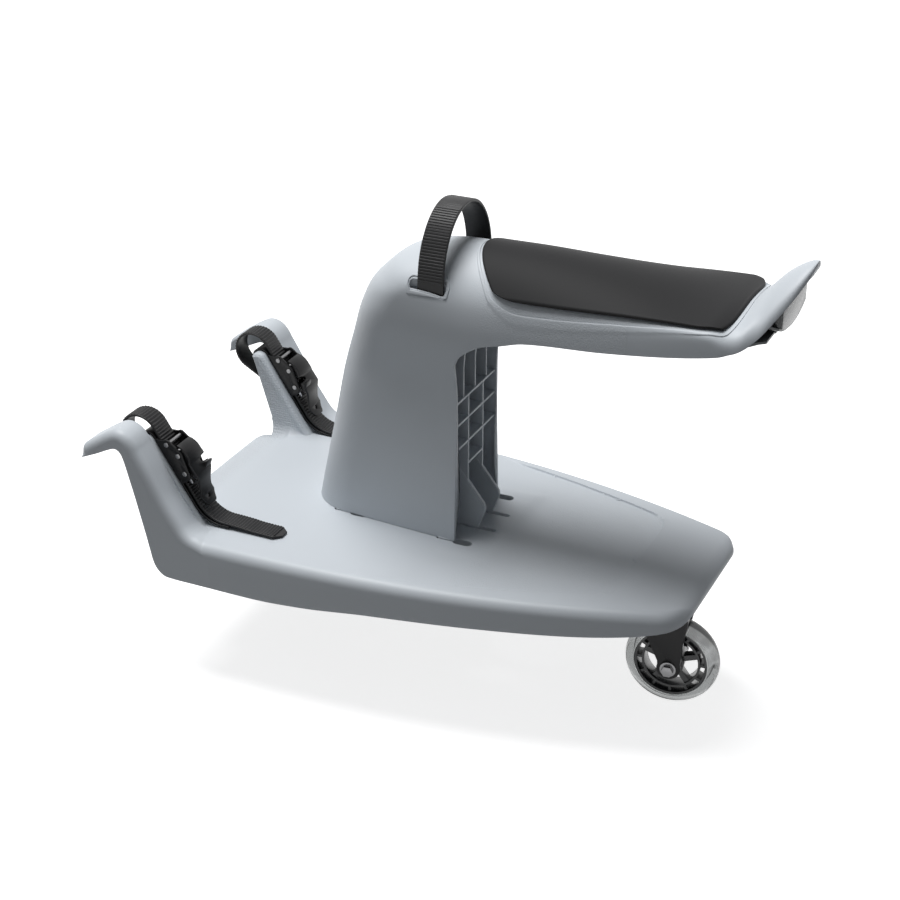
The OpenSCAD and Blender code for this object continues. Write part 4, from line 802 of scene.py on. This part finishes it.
def deck_openings():
    """Keyholes and slots for the seat, the swivel's bore, and the straps' holes and slots."""
    tools = []
    for m in SIDES:
        for s, y in HOOK_PLACES:
            tools.append(round_slot("s", s - 2, s + 2 * SLIDE, m * y, WALL + 0.8, CUT_LOW, CUT_HIGH))
            tools.append(round_slot("s", s + SLIDE - 1, s + 2 * SLIDE + 2, m * y, HEAD_W + 1.4,
                                    CUT_LOW, CUT_HIGH))
        tools.append(round_slot("s", 373.5, 409.5, m * SPINE_Y, 6, CUT_LOW, CUT_HIGH))
    tools.append(rod("s", (SWIVEL_S, 0, SWIVEL_FOOT - 1), UPWARD, SWIVEL_BORE, 0, 27))
    tools.append(rod("s", (SWIVEL_S, 0, -7.01), UPWARD, CLIP_BORE, 0, 4))
    for m in SIDES:
        tools += screw_rods(m, 0, (SCREW_HOLE, -14, 4), (SCREW_HOLE, -12, 7))
        tools.append(rod("s", (ANCHOR_P[0], m * ARM_MIDDLE, ANCHOR_P[1]), ACROSS, PIN_D + 0.08, -18, 18))
        a, b = SLOT_AT - 14 * SLOT_DIR, SLOT_AT + 8 * SLOT_DIR
        up = np.array([-SLOT_DIR[1], SLOT_DIR[0]])
        tools.append(plate("s", [a - 2.5 * up, b - 2.5 * up, b + 3.5 * up, a + 3.5 * up],
                           m * STRAP_Y, STRAP_W + 2))
    return tools


def build_deck():
    deck = loft("deck_look", [deck_ring(s, 0, deck_bottom(s), s) for s in deck_s])
    joined(deck, [horn(1), horn(-1), arm_fillet(1), arm_fillet(-1)])
    cut(deck, deck_hollow())
    joined(deck, deck_ribs())
    cut(deck, deck_openings())
    finish(deck, GREY, "board", ["deck"])


# Building the seat shell
RIB, RIB_BACK, SADDLE_RIB_END, FIN_REACH = 2.4, 377.5, 672, 20
SHELF_HEIGHTS, CURVED_RIBS, SADDLE_RIBS = (77, 103, 130, 155), (-28, 0, 28), (430, 490, 550, 610)
WALL_BACK, WALL_SCREW_Z, SCREW_SEAT, BOSS_Y, BOSS_D = 698 - 9 - GAP, 307, 3.4, 58.8, 11
HANDLE_HALF, HANDLE_S, HANDLE_SLOT, HANDLE_SLOT_W, HANDLE_SCREW_Z = 57.5, 354, (331, 370), 5.2, 262


def seat_ribs():
    """Shelves and ribs inside the post and the saddle, kept within the shell's wall."""
    ribs = []
    for k, z in enumerate(SHELF_HEIGHTS):
        y = SPINE_Y if k == 0 else POST_HALF + 8
        ribs.append(box("shelf", (SEAT_FRONT, -y, z), (RIB_BACK, y, z + RIB)))
    for y in (-SPINE_Y, SPINE_Y):
        ribs.append(box("up", (SEAT_FRONT, y - RIB / 2, SEAT_FLOOR),
                        (RIB_BACK, y + RIB / 2, SHELF_HEIGHTS[-1])))
    arch_line = curve([(379.5, 207), (RIB_BACK + 10, 220), (RIB_BACK + 33, 235), (460, 249), (640, 273),
                       (SADDLE_RIB_END, 290)])
    back = [(RIB_BACK - 1, 155), (RIB_BACK - 1, 190), (RIB_BACK, 203), (RIB_BACK + 2, 211)]
    back += [(s, arch_line(s)) for s in np.linspace(RIB_BACK + 6, SADDLE_RIB_END, 40)]
    outline = [(SEAT_FRONT, 155)] + back + [(SADDLE_RIB_END, 360), (SEAT_FRONT, 360)]
    ribs += [plate("curved", outline, y, RIB) for y in CURVED_RIBS]
    for s in SADDLE_RIBS:
        ribs.append(box("cross", (s, -80, arch_z(s) + 5), (s + RIB, 80, arch_z(s) + 85)))
    wall = box("wall", (WALL_BACK - RIB, -80, 288), (WALL_BACK, 80, 348))
    cut(wall, [rod("h", (686, m * 30, WALL_SCREW_Z), (1, 0, 0), SCREW_SEAT, -2, 6) for m in SIDES])
    ribs.append(wall)
    ribs += [rod("boss", (HANDLE_S, m * BOSS_Y, HANDLE_SCREW_Z), (0, m, 0), BOSS_D, 0, 5.6) for m in SIDES]
    return both(joined(ribs[0], ribs[1:]), [seat_block("limit", WALL / 2, 0, 4.0, 36)])


def seat_feet():
    """Feet and fins at the post's open back, and the hooks under the post."""
    parts = []
    for y in (-SPINE_Y, SPINE_Y):
        parts.append(box("foot", (RIB_BACK, y - RIB / 2, -1), (RIB_BACK + 8, y + RIB / 2, SEAT_FLOOR + 1)))
        fin = ([(RIB_BACK - 61, 4.6), (RIB_BACK + FIN_REACH - 8, 4.6)]
               + arc((RIB_BACK + FIN_REACH - 12, SEAT_FLOOR + 24), 12, -20, 40, 12)
               + [(RIB_BACK - 12, 73.6), (RIB_BACK - 59, 74.4)])
        parts.append(plate("fin", fin, y, RIB + 0.8))
    low = CROWN - WALL - GAP - 3
    for m in SIDES:
        for s, y in HOOK_PLACES:
            parts.append(round_slot("hook", s, s + 16, m * y, WALL, low, SEAT_FLOOR + 1))
            parts.append(round_slot("hook", s, s + 16, m * y, HEAD_W, low, low + 3))
    return parts


def handle_slot_plan(m, grow, n=10):
    return slot_plan(HANDLE_SLOT[0] - grow, HANDLE_SLOT[1] + grow, m * HANDLE_HALF,
                     HANDLE_SLOT_W + 2 * grow, n)


def add_rims(shell):
    """Raised rims round the pad and round the handle's slots."""
    ring = cut(prism("rim", pad_outline(4.6), 200, 360), [prism("in", pad_outline(2.4), 190, 370)])
    joined(shell, [both(ring, [seat_block("skin", -0.5, 0)])])
    for m in SIDES:
        ring = prism("rim", handle_slot_plan(m, 3.4, 16), 275, 350)
        cut(ring, [prism("in", handle_slot_plan(m, 1.4), 270, 360)])
        joined(shell, [both(ring, [seat_block("skin", -0.7, 0)])])


def build_seat():
    shell = cut(seat_block("seat_look", 0, 0), [seat_block("in", WALL, -20, 4.0, 36)])
    joined(shell, [seat_ribs()] + seat_feet())
    add_rims(shell)
    tools = []
    for m in SIDES:
        tools.append(prism("slot", handle_slot_plan(m, 0), 268, 330))
        tools.append(rod("s", (HANDLE_S, m * BOSS_Y, HANDLE_SCREW_Z), (0, m, 0), 3.1, -1, 4.4))
        y0, y1 = sorted((m * 50.5, m * BOSS_Y))
        tools.append(box("room", (HANDLE_S - 15, y0, 250), (HANDLE_S + 15, y1, 274)))
    cut(shell, tools)
    finish(shell, GREY, "seat", ["seat_shell"])


# The pad on the saddle
PAD_T, PAD_LIFT, PAD_EDGE, PAD_IN, PAD_END = 2.6, 0.4, 2.4, 6.5, 655
PAD_COLS, PAD_ROWS = 64, 96


def on_saddle(s, y, lift):
    """Point at a height over the saddle's skin, measured square to it."""
    dy = seat_top_z(s, y + 0.5) - seat_top_z(s, y - 0.5)
    ds = seat_top_z(s + 0.5, y) - seat_top_z(s - 0.5, y)
    return np.array([s, y, seat_top_z(s, y)]) + unit(np.array([-ds, -dy, 1.0])) * lift


def pad_half(s):
    return saddle_half(min(s, PAD_END)) - PAD_IN


def pad_front(v):
    return 388 + 38 * v * v


def pad_back(v):
    return SADDLE_BACK - 12 * v ** 4


def pad_place(u, w, grow=0.0):
    """Point of the pad's plan: u runs from its front to its back, w from side to side."""
    v = w * (1 - 0.10 * (2 * u - 1) ** 14)
    s = mix(pad_front(v) - grow, pad_back(v) + grow, u)
    return s, v * (pad_half(s) + grow)


def pad_outline(grow):
    """The pad's border in plan, grown outward and smoothed."""
    n, m = 60, 90
    out = [pad_place(0, w / n, grow) for w in range(-n, n + 1)]
    out += [pad_place(u / m, 1, grow) for u in range(1, m)]
    out += [pad_place(1, w / n, grow) for w in range(n, -n - 1, -1)]
    out += [pad_place(u / m, -1, grow) for u in range(m - 1, 0, -1)]
    r = resampled(np.array(out + out[:1]), 2.0)[0][:-1]
    for _ in range(6):
        r = 0.5 * r + 0.25 * (np.roll(r, 1, axis=0) + np.roll(r, -1, axis=0))
    return [tuple(p) for p in r]


def build_pad():
    top, bottom = [], []
    for k in range(PAD_ROWS + 1):
        for j in range(-PAD_COLS, PAD_COLS + 1):
            # Samples crowd towards the border, where the pad's edge rolls over
            u = 0.5 - 0.5 * math.cos(math.pi * k / PAD_ROWS)
            s, y = pad_place(u, math.sin(math.pi / 2 * j / PAD_COLS))
            half = pad_half(s)
            d = max(0.0, min(abs(s - pad_front(y / half)), abs(pad_back(y / half) - s), half - abs(y)))
            rolled = 0.85 * (1 - math.sqrt(max(0, 1 - (1 - d / PAD_EDGE) ** 2))) if d < PAD_EDGE else 0
            top.append(on_saddle(s, y, PAD_LIFT + PAD_T - PAD_EDGE * rolled))
            bottom.append(on_saddle(s, y, PAD_LIFT))
    n, off = 2 * PAD_COLS + 1, len(top)
    faces = []
    for k in range(PAD_ROWS):
        for j in range(n - 1):
            a = k * n + j
            faces.append([a, a + 1, a + n + 1, a + n])
            faces.append([off + a, off + a + n, off + a + n + 1, off + a + 1])
    border = list(range(n)) + [k * n + n - 1 for k in range(1, PAD_ROWS + 1)]
    border += [PAD_ROWS * n + j for j in range(n - 2, -1, -1)] + [k * n for k in range(PAD_ROWS - 1, 0, -1)]
    for a, b in zip(border, border[1:] + border[:1]):
        faces.append([a, b, off + b, off + a])
    pad = make("pad_look", top + bottom, faces)
    finish(pad, PAD, "seat", ["seat_pad"], angle=50)


# Straps and handle
TOOTH_LEAD, TEETH_FROM, TEETH_BACK, EYE_D = 0.35, 34, 7, 9
HANDLE_FOOT, HANDLE_BASE, HANDLE_TOP, HANDLE_T, HANDLE_W = 254, 286, 355, 2.4, 28
NOTCH_PITCH, NOTCH_H, NOTCHES_FROM = 3, 0.7, 33


def tooth(d):
    """Height of the toothed strap's saw: a short rise and a long fall."""
    u = (d / TOOTH_PITCH) % 1.0
    return TOOTH_H * (u / TOOTH_LEAD if u < TOOTH_LEAD else 1 - (u - TOOTH_LEAD) / (1 - TOOTH_LEAD))


def notch(d):
    """Height of the handle's flat-topped ridges with their narrow grooves."""
    u = (d / NOTCH_PITCH) % 1.0
    return NOTCH_H * clamp01(min(u, 1 - u) * 5.5 - 0.25)


def build_ladder(m, side):
    total = resampled(ladder_path, 0.28)[1][-1]

    def tooth_at(d):
        return tooth(d - TEETH_FROM) if TEETH_FROM - 2 <= d <= total - TEETH_BACK else 0.0

    def half_at(q):
        """The strap's end narrows to a tip, where it lies on the deck."""
        tip = clamp01((q[0] - (TAIL_END - TIP_L)) / TIP_L) if q[1] < 12 else 0
        return mix(STRAP_W / 2, STRAP_W / 5, tip)

    half_t = STRAP_T / 2
    o = strap_band("ladder_look_" + side, ladder_path, m * STRAP_Y, half_t, half_t, half_at, tooth_at)
    pin = (ANCHOR_P[0], m * STRAP_Y, ANCHOR_P[1])
    joined(o, [rod("eye", pin, ACROSS, EYE_D, -STRAP_W / 2, STRAP_W / 2)])
    cut(o, [rod("h", pin, ACROSS, PIN_D + 0.16, -13, 13)])
    finish(o, STRAP, "board", ["ladder_strap_" + side], angle=40)


def build_under(m, side):
    o = strap_band("under_look_" + side, base_path, m * STRAP_Y, 0.0, BASE_T, lambda q: STRAP_W / 2 + 1,
                   step=1.0, r=0.6)
    sink = turned("h", [(2.6, 0.5), (4.7, 2.6)], (DECK_SCREW_S, m * STRAP_Y, REST_Z), UPWARD)
    cut(o, screw_rods(m, REST_Z, (5.0, -1, 6), (5.0, -1, 6)) + [sink])
    finish(o, BLACK, "board", ["buckle_strap_" + side], angle=40)


def build_handle():
    """One band, bent over the post to half an ellipse, its ends down in the slots."""
    rise = HANDLE_TOP - HANDLE_BASE - HANDLE_T / 2
    ends = (HANDLE_FOOT, 270.0, 278.0)
    line = [np.array([-HANDLE_HALF, z]) for z in ends]
    turns = map(on_circle, range(0, 181, 3))
    line += [np.array([-HANDLE_HALF * c, HANDLE_BASE + rise * s]) for c, s in turns]
    line += [np.array([HANDLE_HALF, z]) for z in reversed(ends)]
    p, at = resampled(line, 0.25)
    rings = []
    for q, m, d in zip(p, line_normals(p), at):
        e = min(d, at[-1] - d)
        fade = clamp01((e - NOTCHES_FROM) / 1.5) * clamp01((q[1] < HANDLE_TOP - 4) + (HANDLE_TOP - q[1]) / 8)
        notched = (notch(e) * fade, 0.2)
        section = band_section(HANDLE_W / 2, HANDLE_T / 2, HANDLE_T / 2, 0.5, notched)
        rings.append([(HANDLE_S + x, q[0] + m[0] * n, q[1] + m[1] * n) for x, n in section])
    o = loft("handle_look", rings)
    cut(o, [rod("h", (HANDLE_S, m * HANDLE_HALF, HANDLE_SCREW_Z), ACROSS, SCREW_SEAT, -6, 6) for m in SIDES])
    finish(o, STRAP, "seat", ["seat_handle"], angle=35)


# Wheel: a tyre turned about the axle, which the caster's trail and yaw place
WHEEL_R, TYRE_IN_R, TYRE_HALF, TYRE_STEPS = 50, 38.5, 12, 144
TRAIL, YAW = 30, math.radians(6.6)


def build_wheel():
    axis = np.array([-math.sin(YAW), math.cos(YAW), 0.0])
    axle = np.array([SWIVEL_S + TRAIL * math.cos(YAW), TRAIL * math.sin(YAW), WHEEL_R - DECK_TOP])
    h, r_in, r = TYRE_HALF, TYRE_IN_R, WHEEL_R
    tread = [(r - 9.5, h * 0.98), (r - 5.2, 10.6)]
    tread += [(r - h * 0.62 + h * 0.62 * c, h * 0.9 * s) for c, s in map(on_circle, range(54, -1, -3))]
    prof = [(r_in, -h + 1.5), (r_in, h - 1.5), (r_in + 0.4, h - 0.5), (r_in + 1.5, h)] + tread
    prof += [(q, -e) for q, e in reversed(tread[:-1])] + [(r_in + 1.5, -h), (r_in + 0.4, -h + 0.5)]
    side = unit(np.cross(axis, [0, 0, 1]))
    up = np.cross(axis, side)
    verts = []
    for k in range(TYRE_STEPS):
        a = 2 * math.pi * k / TYRE_STEPS
        verts += [axle + (side * math.cos(a) + up * math.sin(a)) * q + axis * e for q, e in prof]
    n, m = TYRE_STEPS, len(prof)
    faces = [[k * m + i, k * m + (i + 1) % m, ((k + 1) % n) * m + (i + 1) % m, ((k + 1) % n) * m + i]
             for k in range(n) for i in range(m)]
    finish(make("tyre_look", verts, faces), TYRE, "wheel", ["wheel_tyre"], angle=35)


# The rest: copies of the CAD pieces with softened edges
def dress(name, mat, body, bevel):
    """Copy of a CAD piece with its edges rounded by bevel, in millimetres."""
    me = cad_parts[name].data.copy()
    bm = bmesh.new()
    bm.from_mesh(me)
    bmesh.ops.remove_doubles(bm, verts=bm.verts, dist=2e-6)
    bmesh.ops.dissolve_limit(bm, angle_limit=math.radians(1.0), verts=bm.verts, edges=bm.edges)
    bm.to_mesh(me)
    bm.free()
    if "custom_normal" in me.attributes:
        me.attributes.remove(me.attributes["custom_normal"])
    o = add_object(name + "_look", me)
    b = o.modifiers.new("edge", "BEVEL")
    b.width, b.segments, b.limit_method = bevel / MM, 2, "ANGLE"
    b.angle_limit, b.use_clamp_overlap = math.radians(35), True
    softer = applied_mesh(o)
    o.modifiers.clear()
    o.data = softer
    finish(o, mat, body, [name], angle=30)


build_deck()
build_seat()
build_pad()
build_handle()
build_wheel()
for y_sign, side in ((-1, "left"), (1, "right")):
    build_ladder(y_sign, side)
    build_under(y_sign, side)
    dress("buckle_base_" + side, BLACK, "board", 0.4)
    dress("buckle_lever_" + side, BLACK, "lever_" + side, 0.5)
    dress("drive_pawl_" + side, STEEL, "drive_" + side, 0.2)
    dress("drive_pin_" + side, STEEL, "lever_" + side, 0.2)
    dress("lock_pawl_" + side, STEEL, "lock_" + side, 0.2)
    dress("buckle_pins_" + side, AXLE, "board", 0.3)
    dress("strap_screws_" + side, STEEL, "board", 0.15)

dress("caster_fork", BLACK, "caster", 0.8)
dress("caster_socket", NYLON, "board", 0.3)
dress("wheel_hub", HUB, "wheel", 0.4)
dress("axle_bolt", AXLE, "wheel", 0.4)
dress("axle_nut", AXLE, "wheel", 0.4)
dress("axle_washers", AXLE, "wheel", 0.25)
dress("reflector_housing", HOUSING, "seat", 0.4)
dress("reflector_lens", LENS, "seat", 0.4)

# CAD pieces that stay as they are get their material here
for name in ("handle_screws", "reflector_screws", "caster_stem", "caster_clip", "wheel_bearings",
             "bearing_spacer", "pawl_spring_left", "pawl_spring_right", "strap_anchor_left",
             "strap_anchor_right"):
    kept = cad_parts[name].data
    kept.materials.clear()
    kept.materials.append(STEEL)


# Floor, light and camera
WHITE, FLOOR_REACH = (1, 1, 1, 1), 14


def shown_or_lit(tree, lit, shown, kind):
    """Ends a tree: rays of the camera, of a gloss or through glass meet shown, the others lit."""
    path = tree.nodes.new("ShaderNodeLightPath")
    direct = path.outputs["Is Camera Ray"]
    for ray in ("Is Glossy Ray", "Is Transmission Ray"):
        direct = worked(tree, "MAXIMUM", direct, path.outputs[ray])
    pick = tree.nodes.new("ShaderNodeMixShader")
    for source, place in zip((direct, lit, shown), pick.inputs):
        tree.links.new(source, place)
    tree.links.new(pick.outputs[0], tree.nodes.new(kind).inputs["Surface"])


def empty_tree(owner):
    owner.use_nodes = True
    owner.node_tree.nodes.clear()
    return owner.node_tree


floor_mat = bpy.data.materials.new("floor")
t = empty_tree(floor_mat)
pale = node(t, "ShaderNodeBsdfDiffuse", Color=(0.80, 0.80, 0.80, 1))
dull = node(t, "ShaderNodeBsdfDiffuse", Color=(0.26, 0.26, 0.26, 1))
glow = node(t, "ShaderNodeEmission", Color=WHITE)
glowing = t.nodes.new("ShaderNodeAddShader")
# Away from the lamp the floor glows more, so that it stays as pale as the world behind it
place = t.nodes.new("ShaderNodeTexCoord")
distance = t.nodes.new("ShaderNodeVectorMath")
distance.operation = "LENGTH"
rise = node(t, "ShaderNodeMapRange", From_Min=0.9, From_Max=3.5, To_Min=0.8, To_Max=1.0)
for source, target in ((place.outputs["Object"], distance.inputs[0]),
                       (distance.outputs["Value"], rise.inputs["Value"]),
                       (rise.outputs["Result"], glow.inputs["Strength"]),
                       (pale.outputs[0], glowing.inputs[0]), (glow.outputs[0], glowing.inputs[1])):
    t.links.new(source, target)
shown_or_lit(t, dull.outputs[0], glowing.outputs[0], "ShaderNodeOutputMaterial")
corners = [(FLOOR_REACH * x, FLOOR_REACH * y, 0) for x, y in ((-1, -1), (1, -1), (1, 1), (-1, 1))]
floor = make("floor", corners, [[0, 1, 2, 3]], row=False)
floor.data.materials.append(floor_mat)

world = bpy.data.worlds.new("world")
bpy.context.scene.world = world
t = empty_tree(world)
sky = node(t, "ShaderNodeBackground", Color=(0.93, 0.96, 1.0, 1), Strength=0.12)
white = node(t, "ShaderNodeBackground", Color=WHITE, Strength=1.0)
shown_or_lit(t, sky.outputs[0], white.outputs[0], "ShaderNodeOutputWorld")


def put(data, place, towards):
    """Puts a lamp or a camera at a place, turned to look in a direction."""
    o = add_object(data.name, data)
    o.location = place
    o.rotation_euler = towards.to_track_quat("-Z", "Y").to_euler()
    return o


# A wide soft lamp over the board's front, and the photograph's camera
LAMP_AT, LAMP_AIM = Vector((-0.62, 0.14, 2.7)), Vector((0, 0, 0.2))
CAMERA_AT, CAMERA_LOOK = (0.7422, -1.6234, 1.1476), Vector((-0.3756, 0.8090, -0.4522))
lamp = bpy.data.lights.new("top", "AREA")
lamp.shape, lamp.size, lamp.energy = "DISK", 1.6, 66
put(lamp, LAMP_AT, LAMP_AIM - LAMP_AT)
camera = bpy.data.cameras.new("camera")
camera.lens, camera.sensor_width, camera.clip_start = 76.57, 36, 0.05
bpy.context.scene.camera = put(camera, CAMERA_AT, CAMERA_LOOK)
bpy.context.scene.view_settings.view_transform = "Standard"
